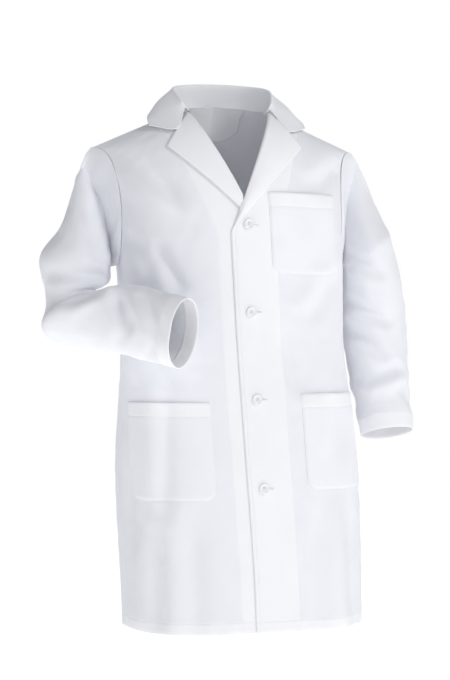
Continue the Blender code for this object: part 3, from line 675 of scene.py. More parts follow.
@dataclass(frozen=True)
class Poplin:
    """White poly-cotton poplin, plain woven: matt, a little fuzzy, and slightly see-through when single.

    The eye gets a soft even white, cooler where one layer lets the shade behind it through, with
    threads a little thicker and thinner here and there.
    """

    name: str = "poly_cotton_poplin"
    single: str = "#F4F5F9"
    doubled: str = "#FBFBFD"
    roughness: float = 0.86
    thread: float = 0.55 * MM  # between threads; real ones lie 0.25 mm apart, too fine to show
    slub: float = 7 * MM
    cloudy: float = 60 * MM

    def make(self) -> bpy.types.Material:
        """Builds the material."""
        made, tree, shader = new_finish(self.name)
        weave = add_node(tree, "ShaderNodeUVMap", uv_map="weave").outputs["UV"]
        place = add_node(tree, "ShaderNodeTexCoord").outputs["Object"]
        turns = add_node(
            tree, "ShaderNodeVectorMath", {0: weave, 1: (math.pi / self.thread,) * 3}, operation="MULTIPLY"
        )
        parts = add_node(tree, "ShaderNodeSeparateXYZ", {0: turns.outputs[0]})
        warp = add_node(tree, "ShaderNodeMath", {0: parts.outputs["X"]}, operation="SINE").outputs[0]
        weft = add_node(tree, "ShaderNodeMath", {0: parts.outputs["Y"]}, operation="SINE").outputs[0]
        crossing = add_node(tree, "ShaderNodeMath", {0: warp, 1: weft}, operation="MULTIPLY").outputs[0]
        stretched = add_node(tree, "ShaderNodeMapping", {"Vector": weave, "Scale": (1.0, 6.0, 1.0)})
        slub = add_node(
            tree, "ShaderNodeTexNoise",
            {"Vector": stretched.outputs[0], "Scale": 1 / self.slub, "Detail": 2.0},
        ).outputs["Fac"]
        cloud = add_node(
            tree, "ShaderNodeTexNoise", {"Vector": place, "Scale": 1 / self.cloudy, "Detail": 3.0}
        ).outputs["Fac"]
        layers = add_node(tree, "ShaderNodeAttribute", attribute_name="layers").outputs["Fac"]
        cover = add_node(
            tree, "ShaderNodeMapRange", {"Value": layers, "From Min": 1.0, "From Max": 2.0}
        ).outputs[0]
        colour = add_node(tree, "ShaderNodeMix", {"Factor": cover}, data_type="RGBA")
        for socket, value in (("A", self.single), ("B", self.doubled)):
            named = [s for s in colour.inputs if s.name == socket and s.type == "RGBA"][0]
            named.default_value = linear(value)
        shade = add_node(
            tree, "ShaderNodeMapRange",
            {"Value": cloud, "From Min": 0.3, "From Max": 0.7, "To Min": 0.975, "To Max": 1.0},
        ).outputs[0]
        mixed = [s for s in colour.outputs if s.type == "RGBA"][0]
        tinted = add_node(tree, "ShaderNodeVectorMath", {0: mixed, "Scale": shade}, operation="SCALE")
        tree.links.new(tinted.outputs[0], shader.inputs["Base Color"])
        fine = add_node(
            tree, "ShaderNodeBump", {"Height": crossing, "Strength": 0.25, "Distance": 0.06 * MM}
        ).outputs[0]
        bumped = add_node(
            tree, "ShaderNodeBump", {"Height": slub, "Strength": 0.5, "Distance": 0.12 * MM, "Normal": fine}
        ).outputs[0]
        tree.links.new(bumped, shader.inputs["Normal"])
        shader.inputs["Roughness"].default_value = self.roughness
        shader.inputs["Specular IOR Level"].default_value = 0.25
        shader.inputs["Sheen Weight"].default_value = 0.12
        shader.inputs["Sheen Roughness"].default_value = 0.5
        return made


@dataclass(frozen=True)
class Resin:
    """Cast polyester resin, tumbled to a satin gloss: milky white with a faint cloud in it."""

    name: str = "cast_resin"
    colour: str = "#FAFAF9"
    shade: str = "#F1F1F0"
    roughness: float = 0.28
    cloud: float = 6 * MM
    scratch: float = 0.4 * MM

    def make(self) -> bpy.types.Material:
        """Builds the material."""
        made, tree, shader = new_finish(self.name)
        place = add_node(tree, "ShaderNodeTexCoord").outputs["Object"]
        cloud = add_node(tree, "ShaderNodeTexNoise", {"Vector": place, "Scale": 1 / self.cloud})
        ramp = add_node(tree, "ShaderNodeValToRGB", {"Fac": cloud.outputs["Fac"]})
        ramp.color_ramp.elements[0].color = linear(self.shade)
        ramp.color_ramp.elements[1].color = linear(self.colour)
        tree.links.new(ramp.outputs["Color"], shader.inputs["Base Color"])
        rubbed = add_node(tree, "ShaderNodeTexNoise", {"Vector": place, "Scale": 1 / self.scratch})
        bump = add_node(
            tree, "ShaderNodeBump",
            {"Height": rubbed.outputs["Fac"], "Strength": 0.1, "Distance": 0.02 * MM},
        )
        tree.links.new(bump.outputs[0], shader.inputs["Normal"])
        shader.inputs["Roughness"].default_value = self.roughness
        shader.inputs["Coat Weight"].default_value = 0.15
        return made


@dataclass(frozen=True)
class SpunThread:
    """Spun polyester sewing thread: white, matt, its plies twisted in fine slanting turns, with painted shade
    in the grooves between them.
    """

    name: str = "spun_polyester_thread"
    colour: str = "#F3F4F7"
    # painted shade: the darker thread colour, laid in the low bands of the twist
    shade: str = "#E9EAEE"
    roughness: float = 0.7
    twist: float = 0.5 * MM

    def make(self) -> bpy.types.Material:
        """Builds the material."""
        made, tree, shader = new_finish(self.name)
        place = add_node(tree, "ShaderNodeTexCoord").outputs["Object"]
        wave = add_node(
            tree, "ShaderNodeTexWave", {"Vector": place, "Scale": 1 / (6.28 * self.twist), "Distortion": 1.0},
            bands_direction="DIAGONAL",
        ).outputs["Fac"]
        # painted shade in the twist's grooves: the ramp darkens the thread where the wave is low
        ramp = add_node(tree, "ShaderNodeValToRGB", {"Fac": wave})
        ramp.color_ramp.elements[0].color = linear(self.shade)
        ramp.color_ramp.elements[1].color = linear(self.colour)
        tree.links.new(ramp.outputs["Color"], shader.inputs["Base Color"])
        bump = add_node(tree, "ShaderNodeBump", {"Height": wave, "Strength": 0.4, "Distance": 0.05 * MM})
        tree.links.new(bump.outputs[0], shader.inputs["Normal"])
        shader.inputs["Roughness"].default_value = self.roughness
        return made


@dataclass
class Stitching:
    """Lockstitch seams: short thread stitches laid end to end along lines on the cloth."""

    finish: bpy.types.Material
    pitch: float = 3.0 * MM
    length: float = 2.3 * MM
    width: float = 0.5 * MM

    def tree(self) -> bpy.types.GeometryNodeTree:
        """The node tree that lays stitches along the edges of a mesh."""
        made = bpy.data.node_groups.new("stitches", "GeometryNodeTree")
        face = made.interface
        face.new_socket("Geometry", in_out="INPUT", socket_type="NodeSocketGeometry")
        for name in ("Stitch pitch", "Stitch length", "Thread width"):
            face.new_socket(name, in_out="INPUT", socket_type="NodeSocketFloat")
        face.new_socket("Thread", in_out="INPUT", socket_type="NodeSocketMaterial")
        face.new_socket("Geometry", in_out="OUTPUT", socket_type="NodeSocketGeometry")
        start = add_node(made, "NodeGroupInput")
        curve = add_node(made, "GeometryNodeMeshToCurve", {"Mesh": start.outputs["Geometry"]})
        evenly = add_node(
            made, "GeometryNodeResampleCurve",
            {"Curve": curve.outputs[0], "Length": start.outputs["Stitch pitch"]}, mode="LENGTH",
        )
        points = add_node(made, "GeometryNodeCurveToPoints", {"Curve": evenly.outputs[0]}, mode="EVALUATED")
        out = add_node(made, "GeometryNodeInputNamedAttribute", {"Name": "out"}, data_type="FLOAT_VECTOR")
        along = add_node(
            made, "FunctionNodeAlignRotationToVector", {"Vector": points.outputs["Tangent"]}, axis="X"
        )
        turned = add_node(
            made, "FunctionNodeAlignRotationToVector",
            {"Rotation": along.outputs[0], "Vector": out.outputs["Attribute"]}, axis="Z", pivot_axis="X",
        )
        ball = add_node(made, "GeometryNodeMeshIcoSphere", {"Radius": 0.5, "Subdivisions": 2})
        thick = start.outputs["Thread width"]
        size = add_node(
            made, "ShaderNodeCombineXYZ",
            {"X": start.outputs["Stitch length"], "Y": thick, "Z": thick},
        )
        stitch = add_node(
            made, "GeometryNodeTransform", {"Geometry": ball.outputs["Mesh"], "Scale": size.outputs[0]}
        )
        rows = add_node(
            made, "GeometryNodeInstanceOnPoints",
            {"Points": points.outputs[0], "Instance": stitch.outputs[0], "Rotation": turned.outputs[0]},
        )
        real = add_node(made, "GeometryNodeRealizeInstances", {"Geometry": rows.outputs[0]})
        dressed = add_node(
            made, "GeometryNodeSetMaterial",
            {"Geometry": real.outputs[0], "Material": start.outputs["Thread"]},
        )
        add_node(made, "NodeGroupOutput", {"Geometry": dressed.outputs[0]})
        return made

    def along(self, name: str, lines: list, **sizes: float) -> bpy.types.Object:
        """Sews along lines.

        Args:
            name: The piece's name.
            lines: Pairs of (points, outward normals), each (n, 3).
            sizes: pitch, length or width, where they differ from the usual.

        Returns:
            The stitches as one plain mesh.
        """
        tree = bpy.data.node_groups.get("stitches") or self.tree()
        points = np.concatenate([line for line, _ in lines])
        outs = np.concatenate([normals for _, normals in lines])
        edges, start = [], 0
        for line, _ in lines:
            edges += [(start + i, start + i + 1) for i in range(len(line) - 1)]
            start += len(line)
        guide = bpy.data.meshes.new(name + "_guide")
        guide.from_pydata(points.tolist(), edges, [])
        outwards = guide.attributes.new("out", "FLOAT_VECTOR", "POINT")
        outwards.data.foreach_set("vector", outs.reshape(-1).astype(np.float32))
        made = put(name, guide)
        modifier = made.modifiers.new("stitches", "NODES")
        modifier.node_group = tree
        sockets = {item.name: item.identifier for item in tree.interface.items_tree if item.in_out == "INPUT"}
        modifier[sockets["Stitch pitch"]] = sizes.get("pitch", self.pitch)
        modifier[sockets["Stitch length"]] = sizes.get("length", self.length)
        modifier[sockets["Thread width"]] = sizes.get("width", self.width)
        modifier[sockets["Thread"]] = self.finish
        graph = bpy.context.evaluated_depsgraph_get()
        mesh = bpy.data.meshes.new_from_object(made.evaluated_get(graph))
        made.modifiers.remove(modifier)
        made.data = mesh
        mesh.name = name
        for attribute in [a for a in mesh.attributes if a.name in ("out", "rotation", "radius", "tilt")]:
            mesh.attributes.remove(attribute)
        mesh.polygons.foreach_set("use_smooth", [True] * len(mesh.polygons))
        return made


# ---- the coat's cut pieces -----------------------------------------------------------------------------
@dataclass
class Tailor:
    """What every sub-assembly needs to finish its pieces."""

    form: CoatForm
    cloth: bpy.types.Material
    resin: bpy.types.Material
    thread: bpy.types.Material
    stitching: Stitching

    def finish(self, ply: Ply, motion: Motion, nodes: tuple[str, ...]) -> bpy.types.Object:
        """Args:
            ply: The piece of cloth.
            motion: What it moves with.
            nodes: The solid model's nodes that it stands for.

        Returns:
            The piece.
        """
        piece = ply.build(self.cloth)
        motion.apply(piece)
        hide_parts(*nodes)
        width, length, area = ply.flat()
        area = round(min(area, width * length), 5)
        LOG.info("%s: %.0f x %.0f mm, %d faces", ply.name, width / MM, length / MM, len(piece.data.polygons))
        return piece


@dataclass
class Front:
    """A front with its facing turned in, its hem, and its hip pocket."""

    side: Side
    form: CoatForm
    facing: float = 0.057
    hem: float = 0.020
    single: float = 0.8 * MM
    double: float = 2.2 * MM
    overlap: float = 0.030
    pocket: tuple[float, float, float, float] = (0.092, 0.272, 0.250, 0.433)
    ease: float = 0.022
    folds: tuple[Fold, ...] = ()
    panel: Panel = field(init=False)

    def __post_init__(self) -> None:
        """Lays the front on the form."""
        self.run = float(self.form.quarter(1.0)[1][-1])
        low = np.linspace(0, 1, 89)
        high = np.linspace(1, self.form.seam_level, 47)[1:]
        levels = np.concatenate([low, high])
        places = np.linspace(-self.overlap, self.run, 46)
        sign = self.side.value
        if sign < 0:
            places = -places[::-1]
        self.turns = np.array([sign * self.angles(sign * places, v) for v in levels])
        laid = self.form.point(self.turns, levels[:, None])
        lift = np.array([self.stand_off(sign * places, v) for v in levels])
        laid = laid + grid_normals(laid) * lift[..., None]
        self.panel = Panel(f"{self.side.name.lower()}_front_cloth", levels, places, laid)

    def angles(self, distances: np.ndarray, level: float) -> np.ndarray:
        """The polar angles of lines at these distances from the centre front."""
        form, outer = self.form, self.pocket[1]
        run = np.where(
            distances <= outer,
            distances,
            outer + (distances - outer) * (form.quarter(level)[1][-1] - outer) / (self.run - outer),
        )
        angle = form.angle_at(run, level)
        if level <= 1:
            return angle
        start, edge = form.angle_at(np.array([self.overlap, self.run]), 1.0)
        arm = form.armhole(level, True)
        if level <= form.break_level + 1e-9:
            return np.where(angle <= start, angle, start + (angle - start) * (arm - start) / (edge - start))
        inner, first = form.roll_angle(level), float(form.angle_at(np.array([-self.overlap]), 1.0)[0])
        at_break = self.angles(distances, form.break_level)
        return inner + (at_break - first) * (arm - inner) / (form.armhole(form.break_level, True) - first)

    def place_of(self, angle: float, level: float) -> float:
        """The panel's place at a polar angle on a level."""
        row = np.interp(level, self.panel.levels, np.arange(len(self.panel.levels)))
        turns = resample(self.turns[..., None], np.array([row]), np.arange(self.turns.shape[1]))[0, :, 0]
        return float(np.interp(angle, turns, self.panel.places))

    def stand_off(self, distances: np.ndarray, level: float) -> np.ndarray:
        """How far the left front is lifted where it lies over the right one."""
        if self.side is Side.RIGHT:
            return np.zeros(len(distances))
        crossing = float(self.form.level_at(np.array([0.0]), self.form.crossing_height)[0])
        fade = np.clip((level - crossing - 0.06) / 0.2, 0, 1)
        return 3.3 * MM * (1 - smooth(self.overlap, self.pocket[0], distances)) * (1 - fade)

    def shape(self) -> None:
        """Folds the front and lets it settle."""
        sign = self.side.value
        distances = sign * self.panel.places
        lap = 1 - smooth(0.034, 0.075, distances)[None, :]
        level = self.panel.levels[:, None]
        edge = np.maximum(smooth(1.9, 1.985, level), smooth(self.run - 0.012, self.run, distances)[None, :])
        self.panel.fold(self.folds, np.maximum(lap + 0 * level, edge))
        hold = np.clip(np.maximum(lap, edge) + 0.30, 0, 1)
        pocket = (distances > self.pocket[0] - 0.01) & (distances < self.pocket[1] + 0.01)
        height = level * self.form.underarm
        inside = pocket[None, :] & (height > self.pocket[2] - 0.01) & (height < self.pocket[3] + 0.02)
        hold = np.where(inside, np.maximum(hold, 0.55), hold)
        self.panel.settle(hold, self.ease, 9 * MM)

    def ply(self) -> Ply:
        """The finished front: cut finely, its seams drawn in and its hem and facing doubled."""
        form, sign = self.form, self.side.value
        heights = spaced(form.underarm, 5 * MM, (self.hem,))
        levels = np.concatenate([heights / form.underarm, np.linspace(1, form.seam_level, 62)[1:]])
        lines = (EDGE_STITCH, self.overlap + self.facing)
        distances = spaced(self.run + self.overlap, 5 * MM, lines) - self.overlap
        rim = self.run - np.array([3.5, 2.4, 1.4, 0.2]) * MM
        distances = np.sort(np.concatenate([distances[distances < self.run - 4.5 * MM], rim]))
        places = distances if sign > 0 else -distances[::-1]
        points = self.panel.sample(levels, places)
        normals = grid_normals(points)
        distance = (sign * places)[None, :]
        height = (np.minimum(levels, 1) * form.underarm)[:, None]
        from_side = self.run - distance
        sewn = seam_relief(from_side) + stitch_relief(distance + self.overlap - EDGE_STITCH)
        sewn = sewn + stitch_relief(height - self.hem) + stitch_relief(distance - self.facing) * 0.6
        top = (form.seam_level - levels)[:, None] * 0.36
        sewn = sewn + seam_relief(top)
        points = points + normals * (sewn * np.ones_like(height * distance))[..., None]
        faced = 1 - smooth(self.facing - 0.001, self.facing + 0.001, distance)
        hemmed = 1 - smooth(self.hem - 0.0005, self.hem + 0.0015, height)
        both = np.maximum(faced + 0 * height, hemmed + 0 * distance)
        thickness = self.single + (self.double - self.single) * both
        return Ply(self.panel.name, points, thickness, layers=1 + both)

    def nodes(self) -> tuple[str, ...]:
        """The solid model's nodes that the finished front stands for."""
        name = self.side.name.lower()
        parts = ("front", "front_flap", "front_facing", "flap_facing", "front_hem")
        return tuple(f"{name}_{part}" for part in parts)

    def sew(self, seams: Seams) -> None:
        """Marks out the front's stitched lines."""
        sign, form = self.side.value, self.form
        edge = sign * (EDGE_STITCH - self.overlap)
        levels = np.linspace(0.004, form.break_level - 0.02, 260)
        seams.add(*line_on(self.panel, levels, np.full(260, edge)))
        across = np.linspace(0.0065 - self.overlap, self.run - 0.002, 120) * sign
        seams.add(*line_on(self.panel, np.full(120, self.hem / form.underarm), across))


def line_on(panel: Panel, levels: np.ndarray, places: np.ndarray) -> tuple[np.ndarray, np.ndarray]:
    """Points along a line on a panel, one for each pair of a level and a place, and the normals there."""
    size = 1e-3
    grid = panel.settled

    def found(at: np.ndarray, known: np.ndarray) -> np.ndarray:
        return np.array([np.interp(at + k * size, known, np.arange(len(known))) for k in (-1, 0, 1)])


    def read(row: np.ndarray, column: np.ndarray) -> np.ndarray:
        r = np.clip(np.floor(row).astype(int), 0, grid.shape[0] - 2)
        c = np.floor(column).astype(int)
        c = c if panel.closed else np.clip(c, 0, grid.shape[1] - 2)
        count = grid.shape[1]
        s, t = (row - r)[:, None], (column - c)[:, None]
        a, b = grid[r, c % count], grid[r, (c + 1) % count]
        d, e = grid[r + 1, c % count], grid[r + 1, (c + 1) % count]
        return (a * (1 - t) + b * t) * (1 - s) + (d * (1 - t) + e * t) * s

    rows, columns = found(levels, panel.levels), found(places, panel.places)
    up = read(rows[2], columns[1]) - read(rows[0], columns[1])
    over = read(rows[1], columns[2]) - read(rows[1], columns[0])
    return read(rows[1], columns[1]), unit(np.cross(over, up))


def relief(
    distance: np.ndarray, dip: float, dip_width: float, swell: float, at: float, spread: float
) -> np.ndarray:
    """A dip on a line and a swelling beside it, every size in millimetres."""
    near = np.abs(distance) / MM
    return MM * (swell * np.exp(-(((near - at) / spread) ** 2)) - dip * np.exp(-((near / dip_width) ** 2)))


def seam_relief(distance: np.ndarray) -> np.ndarray:
    """How far the cloth dips beside a sewn seam, and swells over the allowances behind it."""
    return relief(distance, 0.7, 1.6, 0.35, 6, 4)


def stitch_relief(distance: np.ndarray) -> np.ndarray:
    """How far a line of stitches draws the cloth in, with a slight ridge to each side."""
    return relief(distance, 0.5, 1.0, 0.18, 3, 1.5)


@dataclass
class Back:
    """One of the two backs, from the side seam to the centre back seam."""

    side: Side
    form: CoatForm
    hem: float = 0.020
    single: float = 0.8 * MM
    double: float = 2.2 * MM
    ease: float = 0.022
    folds: tuple[Fold, ...] = ()
    panel: Panel = field(init=False)

    def __post_init__(self) -> None:
        """Lays the back on the form."""
        levels = np.concatenate([np.linspace(0, 1, 89), np.linspace(1, 2, 47)[1:]])
        shares = np.linspace(0, 1, 43)
        sign = self.side.value
        rows = []
        for level in levels:
            v = level if level <= 1 else 1 + (level - 1) * (self.top(shares) - 1)
            rows.append(self.form.point(sign * self.angles(shares, v), v))
        laid = np.array(rows)
        if sign < 0:
            laid, shares = laid[:, ::-1], -shares[::-1]
        self.panel = Panel(f"{self.side.name.lower()}_back_cloth", levels, shares, laid)

    def angles(self, shares: np.ndarray, level: np.ndarray | float) -> np.ndarray:
        """The polar angles of lines at these shares of the way from the side to the centre back."""
        levels = np.broadcast_to(level, shares.shape)
        start = np.array([math.pi / 2 if v <= 1 else self.form.armhole(float(v), False) for v in levels])
        return start + (math.pi - start) * shares

    def top(self, shares: np.ndarray) -> np.ndarray:
        """The level at which each line ends, on the shoulder seam or the neck seam."""
        form, neck = self.form, self.form.neck_angle(False)
        angle = self.angles(shares, 1.0)
        to_nape = np.clip((angle - neck) / (math.pi - neck), 0, 1)
        height = form.neck_point[2] + (form.nape_height - form.neck_point[2]) * to_nape
        end = np.minimum(form.level_at(angle, height), form.seam_level)
        return np.where(angle <= neck, form.seam_level, end)

    def shape(self) -> None:
        """Folds the back and lets it settle."""
        shares = np.abs(self.panel.places)[None, :]
        level = self.panel.levels[:, None]
        hold = np.maximum(1 - smooth(0, 0.04, shares), smooth(1.9, 1.985, level))
        self.panel.fold(self.folds, np.maximum(hold, 0.7 * smooth(0.96, 1.0, shares)))
        hold = np.maximum(np.maximum(hold, smooth(0.97, 1.0, shares)) + 0 * level, 0)
        self.panel.settle(np.clip(hold + 0.30, 0, 1), self.ease, 9 * MM)

    def ply(self) -> Ply:
        """The finished back."""
        form = self.form
        run = float(form.quarter(1.0)[1][-1])
        heights = spaced(form.underarm, 5 * MM, (self.hem,))
        levels = np.concatenate([heights / form.underarm, np.linspace(1, 2, 62)[1:]])
        distances = spaced(run, 5 * MM)
        distances = distances[(distances > 4.5 * MM) & (distances < run - 4.5 * MM)]
        rim = np.array([0.2, 1.4, 2.4, 3.5]) * MM
        distances = np.concatenate([rim, distances, run - rim[::-1]])
        places = distances / run if self.side is Side.LEFT else -distances[::-1] / run
        points = self.panel.sample(levels, places)
        normals = grid_normals(points)
        distance = np.abs(places)[None, :] * run
        height = (np.minimum(levels, 1) * form.underarm)[:, None]
        sewn = seam_relief(distance) + seam_relief(run - distance) + stitch_relief(height - self.hem)
        sewn = sewn + seam_relief((2 - levels)[:, None] * 0.36)
        points = points + normals * (sewn * np.ones_like(height * distance))[..., None]
        hemmed = 1 - smooth(self.hem - 0.0005, self.hem + 0.0015, height) + 0 * distance
        thickness = self.single + (self.double - self.single) * hemmed
        return Ply(self.panel.name, points, thickness, layers=1 + hemmed)

    def sew(self, seams: Seams) -> None:
        """Marks out the back's stitched lines."""
        across = np.linspace(0.006, 0.994, 120) * self.side.value
        seams.add(*line_on(self.panel, np.full(120, self.hem / self.form.underarm), across))


@dataclass
class Ring:
    """One round of a sleeve: its centre on the upright coat, the arm's direction and its half widths."""

    centre: tuple[float, float, float]
    axis: tuple[float, float, float]
    across: tuple[float, float, float]
    marked: float
    half_along: float
    half_over: float

    def points(self, form: CoatForm, count: int) -> np.ndarray:
        """Points round it, from the inner side round by the front."""
        axis = unit(np.array(self.axis))
        middle = form.stood(*(np.array(c) for c in self.centre))
        across = np.array(self.across)
        first = unit(across - axis * (axis @ across))
        second = np.cross(first, axis) if self.centre[0] < 0 else np.cross(axis, first)
        turn = (2 * math.pi * np.arange(count) / count - math.radians(self.marked))[:, None]
        return middle + first * self.half_along * np.cos(turn) + second * self.half_over * np.sin(turn)


@dataclass
class Sleeve:
    """A sleeve, set in at the armhole and finished as two pieces that meet above the elbow."""

    side: Side
    form: CoatForm
    rings: tuple[Ring, ...]
    count: int = 60
    bulge: float = 0.055
    cuff: float = 0.030
    single: float = 0.8 * MM
    double: float = 2.2 * MM
    ease: float = 0.03
    folds: tuple[Fold, ...] = ()
    panel: Panel = field(init=False)

    def __post_init__(self) -> None:
        """Lays the sleeve from the armhole down to the cuff."""
        hole, spans = self.armhole(), []
        loops = [ring.points(self.form, self.count) for ring in self.rings]
        out = np.array([self.side.value, 0, -0.4])
        down = unit(np.array(self.rings[0].axis))
        gap = np.linalg.norm(loops[0] - hole, axis=1)[:, None]
        pull = np.minimum(self.bulge, gap * 0.5)
        for t in np.linspace(0, 1, 16)[:-1]:
            spans.append(
                hole * (1 - 3 * t**2 + 2 * t**3)
                + loops[0] * (3 * t**2 - 2 * t**3)
                + out * pull * t * (1 - t) ** 2
                + down * pull * t * t * (t - 1)
            )
        last = len(loops) - 1
        steps_down = np.linspace(0, last, 20 * last + 1)
        fine = resample(np.array(loops), steps_down, np.arange(self.count), True)
        tube = np.concatenate([np.array(spans), fine])
        steps = np.linalg.norm(np.diff(tube, axis=0), axis=-1).mean(1)
        along = np.concatenate([[0], np.cumsum(steps)])
        self.length = float(along[-1])
        self.join = float(along[15 + 10])
        self.elbow = float(along[15 + 40])
        even = np.linspace(0, self.length, int(round(self.length / (8 * MM))) + 1)
        laid = resample(tube, np.interp(even, along, np.arange(len(along))), np.arange(self.count), True)
        centre = laid.mean(1, keepdims=True)
        if (grid_normals(laid[::-1], True)[::-1] * (laid - centre)).sum() < 0:
            laid = laid[:, ::-1]
        laid = laid[::-1]
        columns = np.arange(self.count, dtype=float)
        self.panel = Panel(f"{self.side.name.lower()}_sleeve", even, columns, laid, True)

    def armhole(self) -> np.ndarray:
        """The armhole's edge as a closed line, evenly parted, from the underarm up the front."""
        form, sign = self.form, self.side.value
        ups = [1.0, 1.12, 1.28, 1.44, 1.60, 1.76, 1.90, form.seam_level]
        place = np.arange(self.count) * 14 / self.count
        levels = np.interp(place, np.arange(15), ups + ups[-2::-1])
        turns = np.array([form.armhole(float(v), bool(p <= 7)) for v, p in zip(levels, place)])
        return form.point(sign * turns, levels) + np.array([sign * 0.3 * MM, 0, -0.2 * MM])

    def shape(self) -> None:
        """Folds the sleeve and lets it settle. Its levels run up from the cuff."""
        from_top = (self.length - self.panel.levels)[:, None] * np.ones((1, self.count))
        hold = 1 - smooth(0.004, 0.02, from_top)
        self.panel.fold(self.folds, hold)
        cuffed = 1 - smooth(0.01, 0.04, self.length - from_top)
        self.panel.settle(np.clip(np.maximum(hold, cuffed * 0.5) + 0.22, 0, 1), self.ease, 12 * MM)

    def plies(self) -> tuple[Ply, Ply]:
        """The finished upper and lower pieces."""
        levels = spaced(self.length, 4.5 * MM, (self.cuff,))
        top = self.length - np.array([3.5, 2.4, 1.4, 0.1]) * MM
        levels = np.concatenate([levels[levels < self.length - 4.5 * MM], top])
        columns = np.arange(0, self.count, 0.62)
        points = self.panel.sample(levels, columns)
        normals = grid_normals(points, True)
        height = levels[:, None] + 0 * columns[None, :]
        seam = np.abs((columns - 2.0 + self.count / 2) % self.count - self.count / 2)[None, :] * 7 * MM
        sewn = stitch_relief(height - self.cuff) + seam_relief(self.length - height) + seam_relief(seam)
        points = points + normals * sewn[..., None]
        hemmed = 1 - smooth(self.cuff - 0.001, self.cuff + 0.001, height)
        thick = self.single + (self.double - self.single) * hemmed
        split = int(np.searchsorted(levels, self.length - self.join))
        lower = Ply(
            f"{self.side.name.lower()}_lower_sleeve_cloth", points[: split + 1], thick[: split + 1], True,
            1 + hemmed[: split + 1], (-1,),
        )
        name = f"{self.side.name.lower()}_sleeve_head_cloth"
        upper = Ply(name, points[split:], thick[split:], True, 1.0, (0,))
        normals = grid_normals(points, True)
        upper.normals, lower.normals = normals[split:], normals[: split + 1]
        self.share = 1 - (levels[split:] - levels[split]) / (self.length - levels[split])
        bend = (self.length - levels[: split + 1] - self.join) / (2 * (self.elbow - self.join))
        self.bend = np.clip(bend, 0, 1)
        return upper, lower

    def nodes(self) -> tuple[tuple[str, ...], tuple[str, ...]]:
        """The solid model's nodes that the upper and lower pieces stand for."""
        name = self.side.name.lower()
        return (f"{name}_sleeve_head", f"{name}_upper_sleeve"), (
            f"{name}_elbow", f"{name}_lower_sleeve", f"{name}_cuff_hem",
        )


@dataclass
class Lapel:
    """A lapel: two layers turned back from the front's edge along a soft roll."""

    side: Side
    form: CoatForm
    lift: float
    start: float
    edge: tuple = ((-0.030, 0.757), (-0.004, 0.788), (0.048, 0.842), (0.094, 0.886), (0.130, 0.921))
    gorge: tuple[float, float] = (0.0788, 0.988)
    thickness: float = 1.9 * MM
    rows: int = 56

    def ply(self) -> Ply:
        """The lapel, from the break up to the gorge."""
        form, sign = self.form, self.side.value
        base = np.array([-form.overlap, form.break_height])
        # each station across: share of the way to the edge, a distance back over the roll, and the lift
        roll = ((0, 3.0, 0.4), (0, 0.0, 0.5), (0, -2.2, 1.6), (0, -2.8, 3.4), (0, -1.4, self.lift / MM + 0.5))
        flat = [(s, 1.2 * (1 - s), self.lift / MM + 3.0 * math.sin(math.pi * min(s, 1)) ** 0.8) for s in
                np.concatenate([np.linspace(0.03, 0.9, 20), [0.95, 0.98, 1.0]])]
        xs, heights, lifts = [], [], []
        for step in range(self.rows):
            k = self.start + (1 - self.start) * step / (self.rows - 1)
            at_roll = base + (np.array(self.gorge) - base) * k
            run = smooth_line(np.array(self.edge), k) - at_roll
            width = max(float(np.linalg.norm(run)), 1e-4)
            grow = float(smooth(0.0, 0.03, width))
            share, back, lift = np.array([*roll, *flat]).T
            x = at_roll[0] + run[0] * (share + back * MM * grow / width)
            height = at_roll[1] + run[1] * (share + back * MM * grow / width)
            if sign < 0:
                reach = (self.gorge[0] + form.overlap) / (self.gorge[1] - form.break_height)
                x = np.maximum(x, 0.0015 - (reach * (height - form.break_height) - form.overlap))
            xs.append(x)
            heights.append(height)
            lifts.append(0.5 * MM + (lift * MM - 0.5 * MM) * (0.35 + 0.65 * grow))
        points = form.above_front(sign, np.array(xs), np.array(heights), np.array(lifts))
        if sign < 0:
            points = points[:, ::-1]
        ordered = grid_normals(points)
        distance = np.linalg.norm(np.diff(points, axis=1), axis=-1)
        run = np.concatenate([np.zeros((len(points), 1)), np.cumsum(distance, 1)], 1)
        to_edge = run[:, -1:] - run if sign > 0 else run
        self.edge_line = to_edge
        points = points + ordered * stitch_relief(to_edge - EDGE_STITCH)[..., None] * 0.7
        self.surface, self.normals = points, ordered
        return Ply(f"{self.side.name.lower()}_lapel", points, self.thickness, layers=2.0)

    def sew(self, seams: Seams) -> None:
        """Marks out the stitches just inside its edge."""
        line, outs = [], []
        for r in range(2, len(self.surface) - 1):
            order = np.argsort(self.edge_line[r])
            column = np.interp(EDGE_STITCH, self.edge_line[r][order], order.astype(float))
            line.append(resample(self.surface, np.array([float(r)]), np.array([column]))[0, 0])
            outs.append(self.normals[r, int(round(column))])
        seams.add(np.array(line), np.array(outs))


def smooth_line(points: np.ndarray, share: float) -> np.ndarray:
    """A point part of the way along a smooth line through points taken as evenly spaced."""
    grid = np.repeat(np.asarray(points, float)[:, None, :], 4, 1)
    return resample(grid, np.array([share * (len(points) - 1)]), np.array([1.0]))[0, 0]


